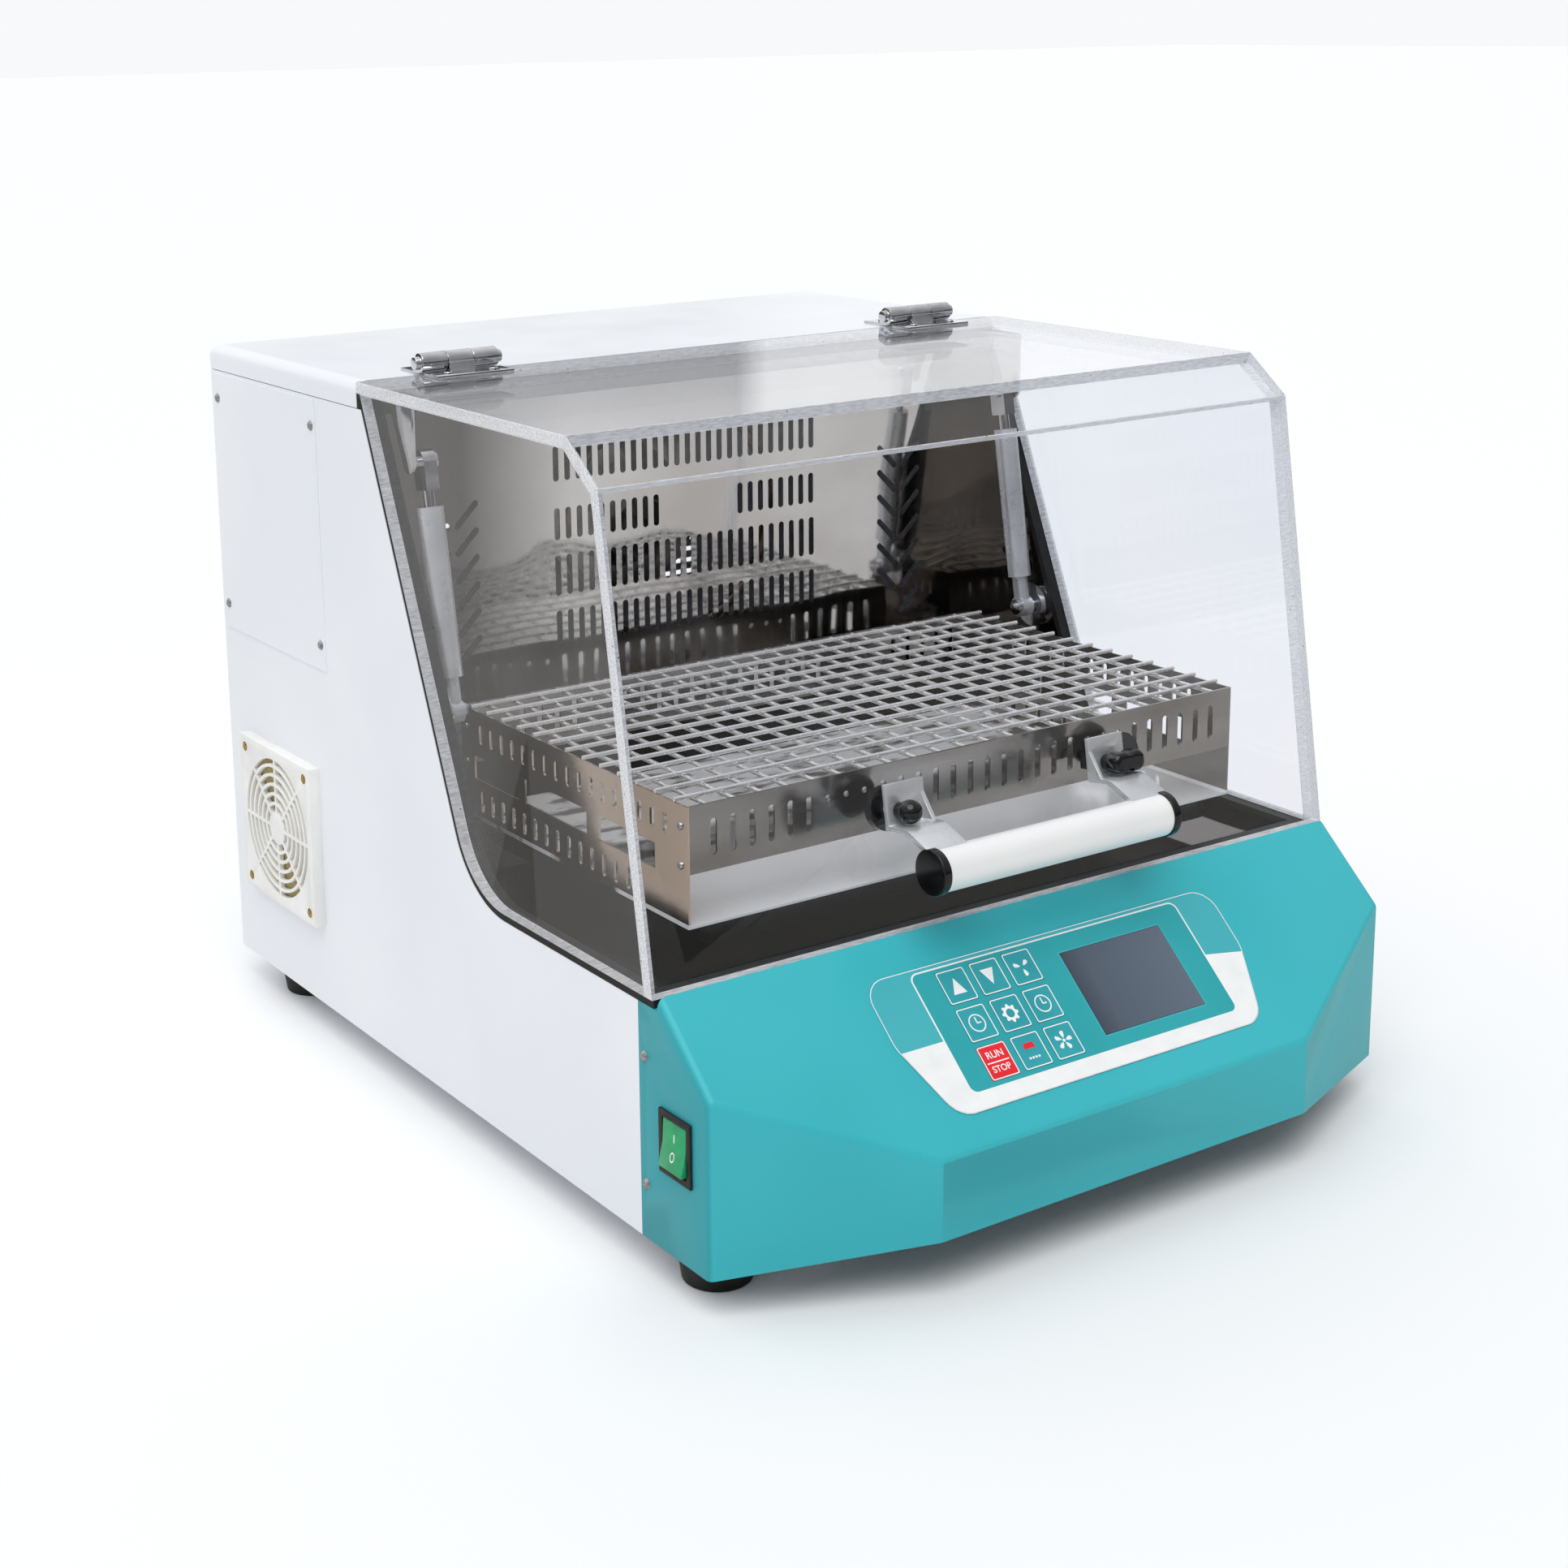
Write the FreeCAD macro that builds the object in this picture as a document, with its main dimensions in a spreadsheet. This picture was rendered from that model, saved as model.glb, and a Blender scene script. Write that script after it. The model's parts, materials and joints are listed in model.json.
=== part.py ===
# Incubated benchtop shaker: a heated chamber under a clear hinged hood, with an orbiting flask tray.
# Cabinet frame used by every formula: x from the mid-plane, y from the rear face and negative
# towards the front, z from the underside of the cabinet. The last step moves each node to the
# row frame, whose origin is the centre of the footprint on the bench. Millimetres and degrees.
import FreeCAD, Part
import os
import re
import Sketcher

document = FreeCAD.newDocument("incubated_shaker")
sheet_cells = document.addObject("Spreadsheet::Sheet", "Sizes")

SIZES = {
    # cabinet of folded, white painted sheet steel
    "body_width": 568,
    "body_depth": 727,
    "body_height": 487,
    "panel_sheet": 1.5,
    "seam_height": 468,
    "seam_gap": 0.6,
    "top_depth": 250,
    "top_round": 9,
    "top_hollow_share": 0.3,
    "deck_height": 153,
    "slope_top": 256,
    "slope_lean": 23,
    "bend_radius": 70,
    "side_depth": 597,
    "pan_lip": 15,
    "pan_fit": 0.3,
    "overrun": 2,
    "edge_match": 0.001,
    # moulded front cover with the sloping control panel and two cut-off corners
    "cover_wall": 3,
    "lip_depth": 618,
    "lip_height": 161,
    "brow_height": 64,
    "chin_rise": 11,
    "facet_depth": 670,
    "centre_width": 309,
    "cover_round": 6,
    # rubber feet
    "foot_height": 25,
    "foot_radius": 26,
    "foot_taper": 4,
    "foot_inset": 35,
    "foot_rear": 58,
    "foot_front": 627,
    # screws
    "screw_radius": 2,
    "screw_head_radius": 3.8,
    "screw_head_height": 1.5,
    "screw_dome_share": 0.6,
    "screw_sunk_share": 0.5,
    "screw_length": 7,
    "screw_fit": 0.1,
    "cover_screw_depth": 603,
    "cover_screw_low": 36,
    "cover_screw_high": 119,
    # access panel on the left side
    "access_rear": 6,
    "access_length": 177,
    "access_height": 199,
    "access_drop": 2,
    "access_sheet": 1,
    "access_screw_inset": 6.5,
    "access_screw_drop": 19,
    "access_margin": 14,
    # cooling fan, guard and filter on the left side
    "fan_size": 120,
    "fan_thick": 25,
    "fan_bore_radius": 56,
    "fan_hub_radius": 20,
    "fan_hub_length": 17,
    "fan_tip_gap": 1.5,
    "fan_blades": 7,
    "fan_blade_width": 24,
    "fan_blade_sheet": 1.8,
    "fan_blade_pitch": 38,
    "fan_strut": 4,
    "fan_pin_radius": 2,
    "fan_screw_pitch": 105,
    "fan_depth": 99,
    "fan_height": 127,
    "guard_size": 123,
    "guard_proud": 9,
    "guard_face": 4,
    "guard_rim": 3.5,
    "guard_mouth_radius": 54,
    "guard_ring_wall": 2.4,
    "guard_ring_pitch": 7.4,
    "guard_rings": 5,
    "guard_hub_radius": 13,
    "guard_spokes": 8,
    "filter_thick": 4,
    "filter_gap": 0.5,
    # rear panel, vents and power inlet
    "vent_length": 70,
    "vent_width": 4,
    "vent_pitch": 10,
    "vent_count": 9,
    "vent_low": 250,
    "vent_offset": 120,
    "inlet_width": 50,
    "inlet_height": 31,
    "inlet_proud": 4,
    "inlet_depth": 24,
    "inlet_wall": 3,
    "inlet_pin_width": 4,
    "inlet_pin_sheet": 2,
    "inlet_pin_length": 15,
    "inlet_pin_pitch": 9,
    "inlet_offset": 190,
    "inlet_level": 62,
    # polished chamber
    "liner_inset": 15,
    "liner_sheet": 1,
    "chamber_rear": 230,
    "floor_drop": 5,
    "slot_width": 4.8,
    "slot_pitch": 9.67,
    "slot_count": 25,
    "slot_inner_left": 30,
    "slot_inner_right": 48,
    "row_one_low": 395,
    "row_one_high": 421,
    "row_two_low": 351,
    "row_two_high": 375,
    "row_three_low": 309,
    "row_three_high": 339.5,
    "row_four_low": 271,
    "row_four_high": 297.5,
    "herring_inner": 184,
    "herring_step": 15,
    "herring_outer": 207,
    "herring_low": 272,
    "herring_rise": 15,
    "herring_pitch": 20,
    "herring_inner_count": 6,
    "herring_outer_count": 7,
    "gasket_thick": 5,
    "gasket_width": 14.5,
    "gasket_inset": 0.5,
    "lid_gap": 0.3,
    # clear acrylic hood
    "hood_sheet": 8,
    "hood_overhang": 1,
    "hood_rear_gap": 2,
    "hood_top_depth": 530,
    "hood_knee_depth": 565,
    "hood_knee_height": 460,
    "hood_foot_depth": 614,
    # barrel hinges of the hood
    "hinge_offset": 205,
    "hinge_length": 60,
    "hinge_rise": 8,
    "knuckle_radius": 7,
    "hinge_pin_radius": 3,
    "hinge_pin_head": 4.5,
    "hinge_pin_reach": 4,
    "hinge_leaf": 2,
    "hinge_leaf_depth": 28,
    "hinge_web": 9,
    "running_fit": 0.06,
    "side_play": 0.3,
    # gas springs between the chamber walls and the hood
    "spring_offset": 256,
    "spring_low_depth": 323.6,
    "spring_low_height": 265,
    "spring_high_depth": 294,
    "spring_high_height": 435,
    "spring_tube_radius": 9,
    "spring_tube_start": 24,
    "spring_tube_length": 117,
    "spring_neck_radius": 6,
    "spring_rod_radius": 4,
    "spring_rod_foot": 32,
    "spring_eye_radius": 8,
    "spring_eye_width": 10,
    "spring_block_drop": 20,
    "spring_pin_radius": 4,
    "wall_disc_radius": 17.5,
    "wall_disc_thick": 4,
    "stud_head_radius": 6,
    "stud_head_thick": 2.5,
    "tab_sheet": 2.5,
    "tab_offset": 266.5,
    "tab_reach": 28,
    "tab_foot_width": 14,
    # handle
    "handle_length": 188,
    "handle_radius": 14,
    "handle_wall": 2,
    "handle_cap": 6,
    "handle_cap_rim": 1,
    "handle_standoff": 40,
    "handle_height": 209,
    "strap_inner": 70,
    "strap_width": 31,
    "strap_sheet": 3,
    "strap_level": 228,
    "strap_reach": 18,
    "strap_bend_share": 0.8,
    "strap_plate": 26,
    "gusset_height": 20,
    "gusset_reach": 13,
    "left_knob_offset": 91,
    "right_knob_offset": 84.5,
    "knob_height": 236.5,
    "knob_stem_radius": 4,
    "knob_disc_radius": 14.5,
    "knob_disc_thick": 8,
    "knob_disc_bevel": 2,
    "knob_neck_radius": 5,
    "knob_grip_radius": 7.8,
    "knob_grip_reach": 22,
    "knob_lobe_radius": 7,
    "knob_lobe_spacing": 13,
    "lobe_end_share": 0.9,
    "lobe_face_share": 0.55,
    "knob_waist_radius": 4,
    "waist_drop_share": 0.3,
    "knob_lever_reach": 26,
    "knob_lever_width": 11,
    # orbiting platform and tray
    "orbit_radius": 10,
    "tray_width": 463,
    "tray_depth": 287,
    "tray_rear": 287,
    "tray_low": 178.6,
    "tray_height": 79,
    "tray_sheet": 1.5,
    "band_height": 43.7,
    "platform_inset": 3,
    "platform_thick": 14,
    "platform_round": 24,
    "platform_boss_radius": 15,
    "tray_slot_width": 4.8,
    "tray_slot_pitch": 14.6,
    "band_slot_low": 223.5,
    "band_slot_high": 247.5,
    "band_inner_count": 12,
    "band_outer_count": 6,
    "band_outer_offset": 212,
    "band_hole_radius": 2,
    "band_hole_offset": 110,
    "band_hole_height": 243.5,
    "side_slot_low": 234.5,
    "side_slot_high": 248.5,
    "side_slot_first": 315,
    "side_slot_count": 17,
    "foot_slot_low": 185,
    "foot_slot_high": 200.5,
    "foot_slot_count": 14,
    "window_low": 208,
    "window_high": 225,
    "window_one_rear": 305,
    "window_one_front": 366,
    "window_two_rear": 375,
    "window_two_front": 455,
    "window_three_rear": 470,
    "window_three_front": 537,
    "wire_radius": 1.5,
    "wire_gap": 0.1,
    "long_wire_pitch": 21.5,
    "long_wire_count": 13,
    "cross_wire_pitch": 20.5,
    "cross_wire_count": 22,
    # drive under the chamber floor
    "drive_depth": 356,
    "idler_depth": 490,
    "idler_offset": 140,
    "shaft_radius": 10,
    "shaft_low": 22,
    "crank_gap": 2,
    "crank_thick": 6,
    "crank_radius": 24,
    "crank_pin_radius": 7,
    "crank_pin_length": 18,
    "floor_hole_gap": 2,
    "bearing_plate_height": 30,
    "bearing_plate_thick": 4,
    "bearing_plate_margin": 45,
    "bearing_post_radius": 8,
    "bearing_post_inset": 15,
    "bearing_radius": 21,
    "bearing_height": 30,
    "pulley_height": 72,
    "pulley_thick": 14,
    "pulley_radius": 52,
    "motor_pulley_radius": 20,
    "weight_height": 98,
    "weight_thick": 18,
    "weight_radius": 44,
    "belt_thick": 3,
    "belt_width": 11,
    "belt_gap": 0.3,
    "motor_offset": 150,
    "motor_depth": 330,
    "motor_radius": 38,
    "motor_top": 62,
    "motor_shaft_radius": 5,
    "motor_boss_radius": 14,
    "motor_boss_height": 4,
    "motor_bay_gap": 2,
    # air heating behind the slotted wall
    "blower_height": 350,
    "blower_motor_radius": 36,
    "blower_motor_length": 95,
    "blower_shaft_radius": 4,
    "blower_shaft_length": 40,
    "blower_gap": 6,
    "wheel_radius": 72,
    "wheel_depth": 34,
    "wheel_sheet": 2,
    "wheel_hub_radius": 14,
    "wheel_blades": 18,
    "wheel_blade_length": 22,
    "heater_radius": 92,
    "heater_tube": 4,
    "heater_leg_share": 0.75,
    "heater_depth": 205,
    "heater_foot_angle": 35,
    # power rocker on the left face of the front cover
    "rocker_depth": 637,
    "rocker_height": 73,
    "bezel_width": 34,
    "bezel_height": 41,
    "bezel_rim": 3,
    "bezel_proud": 2,
    "bezel_body": 22,
    "rocker_gap": 0.4,
    "rocker_rise": 3.4,
    "rocker_dip": 2,
    "rocker_root": 9,
    "rocker_pivot": 3,
    "rocker_throw": 8,
    "rocker_root_share": 0.33,
    "rocker_pin_radius": 1.2,
    # control overlay, keys and display on the sloping panel, placed from its top edge
    "overlay_top": 26,
    "overlay_waist": 72,
    "overlay_foot": 125,
    "overlay_half": 147,
    "overlay_foot_half": 128,
    "overlay_film": 0.6,
    "overlay_top_round": 16,
    "overlay_foot_round": 18,
    "key_width": 22,
    "key_length": 23,
    "key_pitch": 27,
    "key_first_across": 82,
    "key_first_down": 44,
    "key_gap": 0.3,
    "key_proud": 0.3,
    "key_body": 2.4,
    "key_stem": 9,
    "key_stem_end": 5.8,
    "display_left": 4.5,
    "display_width": 87.5,
    "display_top": 42,
    "display_height": 61,
    "board_drop": 6.4,
    "board_sheet": 1.6,
    "board_margin": 9,
    "board_post_radius": 2.5,
}

# Sizes that follow from the ones above, as formulas of the same sheet.
DERIVED = {
    "half_width": "body_width / 2",
    "panel_inner": "half_width - panel_sheet",
    "liner_outer": "half_width - liner_inset + liner_sheet",
    "liner_inner": "half_width - liner_inset",
    "lean_slope": "tan(slope_lean)",
    "lean_cos": "cos(slope_lean)",
    "panel_run": "body_depth - lip_depth",
    "panel_fall": "lip_height - brow_height",
    "panel_length": "sqrt(panel_run * panel_run + panel_fall * panel_fall)",
    "panel_cos": "panel_run / panel_length",
    "panel_sin": "panel_fall / panel_length",
    "half_centre": "centre_width / 2",
    "facet_run": "half_width - half_centre",
    "facet_fall": "body_depth - facet_depth",
    "facet_length": "sqrt(facet_run * facet_run + facet_fall * facet_fall)",
    "facet_turn": "(1 - facet_fall / facet_length) / (facet_run / facet_length)",
    "centre_turn": "(1 - facet_run / facet_length) / (facet_fall / facet_length)",
    "frame_x": "(guard_proud + screw_head_height * screw_sunk_share - screw_head_height) / 2",
    "frame_y": "(body_depth - inlet_proud) / 2",
    "frame_z": "foot_height",
    "chamber_floor_height": "deck_height - floor_drop",
    "hood_half": "half_width + hood_overhang",
    "hood_foot_height": "deck_height + gasket_thick + lid_gap",
    "hood_rear": "top_depth + hood_rear_gap",
    "knee_run": "hood_knee_depth - hood_top_depth",
    "knee_fall": "body_height - hood_knee_height",
    "knee_length": "sqrt(knee_run * knee_run + knee_fall * knee_fall)",
    "knee_cos": "knee_run / knee_length",
    "knee_sin": "knee_fall / knee_length",
    "front_run": "hood_foot_depth - hood_knee_depth",
    "front_fall": "hood_knee_height - hood_foot_height",
    "front_length": "sqrt(front_run * front_run + front_fall * front_fall)",
    "front_cos": "front_run / front_length",
    "front_sin": "front_fall / front_length",
    "bend_one": "(1 - knee_cos) / knee_sin",
    "bend_two_sin": "front_sin * knee_cos - front_cos * knee_sin",
    "bend_two_cos": "front_cos * knee_cos + front_sin * knee_sin",
    "bend_two": "(1 - bend_two_cos) / bend_two_sin",
    "inner_top_depth": "hood_top_depth - hood_sheet * bend_one",
    "inner_top_height": "body_height - hood_sheet",
    "inner_knee_depth": "hood_knee_depth - hood_sheet * (knee_sin + bend_two * knee_cos)",
    "inner_knee_height": "hood_knee_height - hood_sheet * (knee_cos - bend_two * knee_sin)",
    "inner_foot_depth": "hood_foot_depth - hood_sheet / front_sin",
    "hinge_height": "body_height + hinge_rise",
    "spring_run": "spring_low_depth - spring_high_depth",
    "spring_climb": "spring_high_height - spring_low_height",
    "spring_length": "sqrt(spring_run * spring_run + spring_climb * spring_climb)",
    "half_tray": "tray_width / 2",
    "tray_front": "tray_rear + tray_depth",
    "tray_top": "tray_low + tray_height",
    "band_low": "tray_top - band_height",
    "crank_low": "chamber_floor_height + crank_gap",
    "platform_low": "tray_low - platform_thick",
    "rotor_tip": "fan_bore_radius - fan_tip_gap",
}

NODES = []
WORD = re.compile(r"[a-z][a-z_]*")


def fill_sheet():
    """Writes the driving sizes as plain numbers and the derived ones as formulas."""
    row = 0
    for name, value in SIZES.items():
        row += 1
        sheet_cells.set("A%d" % row, name)
        sheet_cells.set("B%d" % row, str(value))
        sheet_cells.setAlias("B%d" % row, name)
    for name, formula in DERIVED.items():
        row += 1
        sheet_cells.set("A%d" % row, name)
        sheet_cells.set("B%d" % row, "=" + formula)
        sheet_cells.setAlias("B%d" % row, name)
    document.recompute()


def bound(formula):
    """The formula with each name read from the sheet."""
    return WORD.sub(lambda word: "Sizes." + word.group(), formula)


def number(formula):
    """The formula's present value."""
    text = WORD.sub(lambda word: "(%.9f)" % sheet_cells.get(word.group()), formula)
    return FreeCAD.Units.Quantity(text).Value


def bind(thing, **formulas):
    for name, formula in formulas.items():
        thing.setExpression(name, bound(formula))


def put(thing, x="0", y="0", z="0"):
    """Binds the place of a thing to formulas."""
    for axis, formula in (("x", x), ("y", y), ("z", z)):
        thing.setExpression("Placement.Base." + axis, bound(formula))


def block(name, x, y, z):
    """A box between two formulas along each axis."""
    box = document.addObject("Part::Box", name)
    bind(box, Length="(%s) - (%s)" % (x[1], x[0]), Width="(%s) - (%s)" % (y[1], y[0]),
         Height="(%s) - (%s)" % (z[1], z[0]))
    put(box, x[0], y[0], z[0])
    return box


def turn_to(thing, axis):
    """Turns a thing built along +z so that it runs along the axis named."""
    turns = {"x": ((0, 1, 0), 90), "y": ((1, 0, 0), -90), "z": ((0, 0, 1), 0)}
    direction, angle = turns[axis]
    thing.Placement.Rotation = FreeCAD.Rotation(FreeCAD.Vector(*direction), angle)


def rod(name, axis, start, radius, length):
    """A cylinder from its start point along +x, +y or +z."""
    cylinder = document.addObject("Part::Cylinder", name)
    bind(cylinder, Radius=radius, Height=length)
    turn_to(cylinder, axis)
    put(cylinder, *start)
    return cylinder


def cone(name, axis, start, first_radius, last_radius, length):
    taper = document.addObject("Part::Cone", name)
    bind(taper, Radius1=first_radius, Radius2=last_radius, Height=length)
    turn_to(taper, axis)
    put(taper, *start)
    return taper


def join(name, *parts):
    fused = document.addObject("Part::MultiFuse", name)
    fused.Shapes = list(parts)
    return fused


def group(name, *parts):
    """Separate solids kept together."""
    compound = document.addObject("Part::Compound", name)
    compound.Links = list(parts)
    return compound


def cut(name, base, *tools):
    result = document.addObject("Part::Cut", name)
    result.Base = base
    result.Tool = tools[0] if len(tools) == 1 else group(name + "_tools", *tools)
    return result


def meet(name, first, second):
    common = document.addObject("Part::Common", name)
    common.Base = first
    common.Tool = second
    return common


def origin_plane(body, plane):
    """The body's own XY, XZ or YZ plane."""
    for feature in body.Origin.OriginFeatures:
        if feature.Role == plane + "_Plane":
            return feature
    raise ValueError(plane)


def new_sketch(body, plane, offset):
    sketch = body.newObject("Sketcher::SketchObject", body.Name + "_sketch")
    sketch.AttachmentSupport = (origin_plane(body, plane), [""])
    sketch.MapMode = "FlatFace"
    sketch.setExpression("AttachmentOffset.Base.z", bound(offset))
    return sketch


def pin_point(sketch, geometry, vertex, across, up):
    """Ties a point of the sketch to two formulas."""
    for kind, formula in (("DistanceX", across), ("DistanceY", up)):
        index = sketch.addConstraint(
            Sketcher.Constraint(kind, -1, 1, geometry, vertex, number(formula)))
        sketch.setExpression("Constraints[%d]" % index, bound(formula))


def draw_outline(sketch, corners):
    """A closed line through corners given as pairs of formulas."""
    points = [FreeCAD.Vector(number(across), number(up), 0) for across, up in corners]
    for index, point in enumerate(points):
        sketch.addGeometry(Part.LineSegment(point, points[(index + 1) % len(points)]))
    for index in range(len(points)):
        following = (index + 1) % len(points)
        sketch.addConstraint(Sketcher.Constraint("Coincident", index, 2, following, 1))
    for index, (across, up) in enumerate(corners):
        pin_point(sketch, index, 1, across, up)


def draw_slot(sketch, first, second, width):
    """A round-ended slot between two end centres."""
    ends = [FreeCAD.Vector(number(across), number(up), 0) for across, up in (first, second)]
    radius = number(width) / 2
    along = (ends[1] - ends[0]).normalize()
    side = FreeCAD.Vector(-along.y, along.x, 0) * radius
    turn = along.getAngle(FreeCAD.Vector(1, 0, 0)) * (1 if along.y >= 0 else -1)
    quarter = FreeCAD.Units.Quantity("90 deg").getValueAs("rad").Value
    sketch.addGeometry(Part.ArcOfCircle(Part.Circle(ends[1], FreeCAD.Vector(0, 0, 1), radius),
                                        turn - quarter, turn + quarter))
    sketch.addGeometry(Part.LineSegment(ends[1] + side, ends[0] + side))
    sketch.addGeometry(Part.ArcOfCircle(Part.Circle(ends[0], FreeCAD.Vector(0, 0, 1), radius),
                                        turn + quarter, turn + 3 * quarter))
    sketch.addGeometry(Part.LineSegment(ends[0] - side, ends[1] - side))
    for one, one_end, other, other_end in ((0, 2, 1, 1), (1, 2, 2, 1), (2, 2, 3, 1), (3, 2, 0, 1)):
        sketch.addConstraint(Sketcher.Constraint("Tangent", one, one_end, other, other_end))
    for arc in (0, 2):
        index = sketch.addConstraint(Sketcher.Constraint("Radius", arc, radius))
        sketch.setExpression("Constraints[%d]" % index, bound("(%s) / 2" % width))
    pin_point(sketch, 0, 3, *second)
    pin_point(sketch, 2, 3, *first)


def plate(name, plane, offset, corners, thickness):
    """A body padded from an outline along the plane's own normal."""
    body = document.addObject("PartDesign::Body", name)
    sketch = new_sketch(body, plane, offset)
    draw_outline(sketch, corners)
    pad = body.newObject("PartDesign::Pad", name + "_pad")
    pad.Profile = sketch
    bind(pad, Length=thickness)
    document.recompute()
    return body


def round_edges(body, radius, wanted):
    """Fillets the edges of the body that the test picks."""
    tip = body.Tip
    names = ["Edge%d" % (index + 1) for index, edge in enumerate(tip.Shape.Edges) if wanted(edge)]
    fillet = body.newObject("PartDesign::Fillet", body.Name + "_round")
    fillet.Base = (tip, names)
    bind(fillet, Radius=radius)
    document.recompute()
    return body


def upright_at(across, up, first, second):
    """Picks the edges that run along the pad through one corner of its outline."""
    target = (number(across), number(up))
    match = number("edge_match")

    def wanted(edge):
        return all(abs(getattr(vertex.Point, first) - target[0]) < match
                   and abs(getattr(vertex.Point, second) - target[1]) < match
                   for vertex in edge.Vertexes)
    return wanted


def pocket(body, sketch, depth):
    """Cuts against the sketch's normal."""
    cutter = body.newObject("PartDesign::Pocket", body.Name + "_pocket")
    cutter.Profile = sketch
    bind(cutter, Length=depth)
    document.recompute()
    return cutter


def slot_row(body, plane, offset, depth, first, second, width, axis, step, count):
    """Cuts a slot and repeats it along the sketch's H or V axis."""
    sketch = new_sketch(body, plane, offset)
    draw_slot(sketch, first, second, width)
    cutter = pocket(body, sketch, depth)
    row = body.newObject("PartDesign::LinearPattern", body.Name + "_row")
    row.Originals = [cutter]
    row.Direction = (sketch, [axis + "_Axis"])
    bind(row, Length="(%s) * (%s - 1)" % (step, count), Occurrences=count)
    body.Tip = row
    document.recompute()


def square_pocket(body, plane, offset, depth, low, high):
    """Cuts a rectangle between two corner points of the plane."""
    sketch = new_sketch(body, plane, offset)
    draw_outline(sketch, [low, (high[0], low[1]), high, (low[0], high[1])])
    pocket(body, sketch, depth)


def node(label, shape):
    """Names a finished sub-part and moves it from the cabinet frame to the row frame."""
    if shape.TypeId in ("Part::Box", "Part::Cylinder", "Part::Cone"):
        shape = group(label + "_node", shape)
    shape.Label = label
    put(shape, "frame_x", "frame_y", "frame_z")
    NODES.append(shape)


def both(low, high):
    return ("-(%s)" % high, "-(%s)" % low), (low, high)


def slope_depth(height, away):
    """Depth of the opening's sloping edge at a height, or of a line that far in front of it."""
    return "-(slope_top + (seam_height - (%s)) * lean_slope + (%s) / lean_cos)" % (height, away)


def screw(name, axis, point, outward):
    """A dome-headed screw whose head stands on a face; outward is + or -."""
    x, y, z = point
    seat = dict(zip("xyz", point))
    head_start = dict(seat)
    shank_start = dict(seat)
    if outward == "+":
        shank_start[axis] = "(%s) - screw_length" % seat[axis]
        head = cone(name + "_head", axis, tuple(head_start.values()), "screw_head_radius",
                    "screw_head_radius * screw_dome_share", "screw_head_height")
    else:
        head_start[axis] = "(%s) - screw_head_height" % seat[axis]
        head = cone(name + "_head", axis, tuple(head_start.values()),
                    "screw_head_radius * screw_dome_share", "screw_head_radius", "screw_head_height")
    shank = rod(name + "_shank", axis, tuple(shank_start.values()), "screw_radius", "screw_length")
    return join(name, head, shank)


def screw_hole(name, axis, point):
    """A clearance hole that reaches well past both sides of a sheet."""
    start = dict(zip("xyz", point))
    start[axis] = "(%s) - screw_length - overrun" % start[axis]
    return rod(name, axis, tuple(start.values()), "screw_radius + screw_fit",
               "2 * (screw_length + overrun)")


def plan_corners(inset):
    """The front cover's plan outline, drawn in by the inset, from one rear corner to the other."""
    side = "(half_width - (%s))" % inset
    facet = "-(facet_depth - (%s) * facet_turn)" % inset
    centre = "(half_centre - (%s) * centre_turn)" % inset
    front = "-(body_depth - (%s))" % inset
    rear = "-(side_depth - overrun)"
    return [(side, rear), ("-" + side, rear), ("-" + side, facet), ("-" + centre, front),
            (centre, front), (side, facet)]


def panel_point(across, down, out):
    """A point of the sloping panel: across, down from its top edge, and out of its face."""
    depth = "-(lip_depth + (%s) * panel_cos + (%s) * panel_sin)" % (down, out)
    height = "lip_height - (%s) * panel_sin + (%s) * panel_cos" % (down, out)
    return across, depth, height


def lay_on_panel(thing, across, down, out):
    """Lays a thing built flat on the xy plane onto the sloping panel, +y pointing up the slope."""
    angle = FreeCAD.Vector(0, number("panel_cos"), number("panel_sin"))
    thing.Placement.Rotation = FreeCAD.Rotation(FreeCAD.Vector(0, 1, 0), angle)
    put(thing, *panel_point(across, down, out))
    return thing


def panel_block(name, across, down, out):
    """A box on the sloping panel between two values of across, down and out."""
    box = document.addObject("Part::Box", name)
    bind(box, Length="(%s) - (%s)" % (across[1], across[0]), Width="(%s) - (%s)" % (down[1], down[0]),
         Height="(%s) - (%s)" % (out[1], out[0]))
    return lay_on_panel(box, across[0], down[1], out[0])


def lean_with_spring(thing, x):
    """Stands a thing built along +z on the gas spring's lower pivot, leaning back with it."""
    line = FreeCAD.Vector(0, number("spring_run"), number("spring_climb"))
    thing.Placement.Rotation = FreeCAD.Rotation(FreeCAD.Vector(0, 0, 1), line)
    put(thing, x, "-spring_low_depth", "spring_low_height")
    return thing


def hood_point(across, up, out):
    """A point off the hood's front sheet: across, at a height on its face, and out of it."""
    depth = "-(hood_foot_depth - (%s - hood_foot_height) * front_cos / front_sin + (%s) * front_sin)" % (
        up, out)
    height = "(%s) + (%s) * front_cos" % (up, out)
    return across, depth, height


def square_to_hood(thing, across, up, out):
    """Points a thing built along +z out of the hood's front sheet."""
    line = FreeCAD.Vector(0, -number("front_sin"), number("front_cos"))
    thing.Placement.Rotation = FreeCAD.Rotation(FreeCAD.Vector(0, 0, 1), line)
    put(thing, *hood_point(across, up, out))
    return thing


def side_outline():
    """Outline of a cabinet side: upright back, level seam, lean, and level front part."""
    return [("0", "0"), ("-side_depth", "0"), ("-side_depth", "deck_height"),
            (slope_depth("deck_height", "0"), "deck_height"), ("-slope_top", "seam_height"),
            ("0", "seam_height")]


def side_plate(name, offset, thickness):
    """A sheet with the side outline and its rounded inner bend."""
    body = plate(name, "YZ", offset, side_outline(), thickness)
    bend = upright_at(slope_depth("deck_height", "0"), "deck_height", "y", "z")
    return round_edges(body, "bend_radius", bend)


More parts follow.
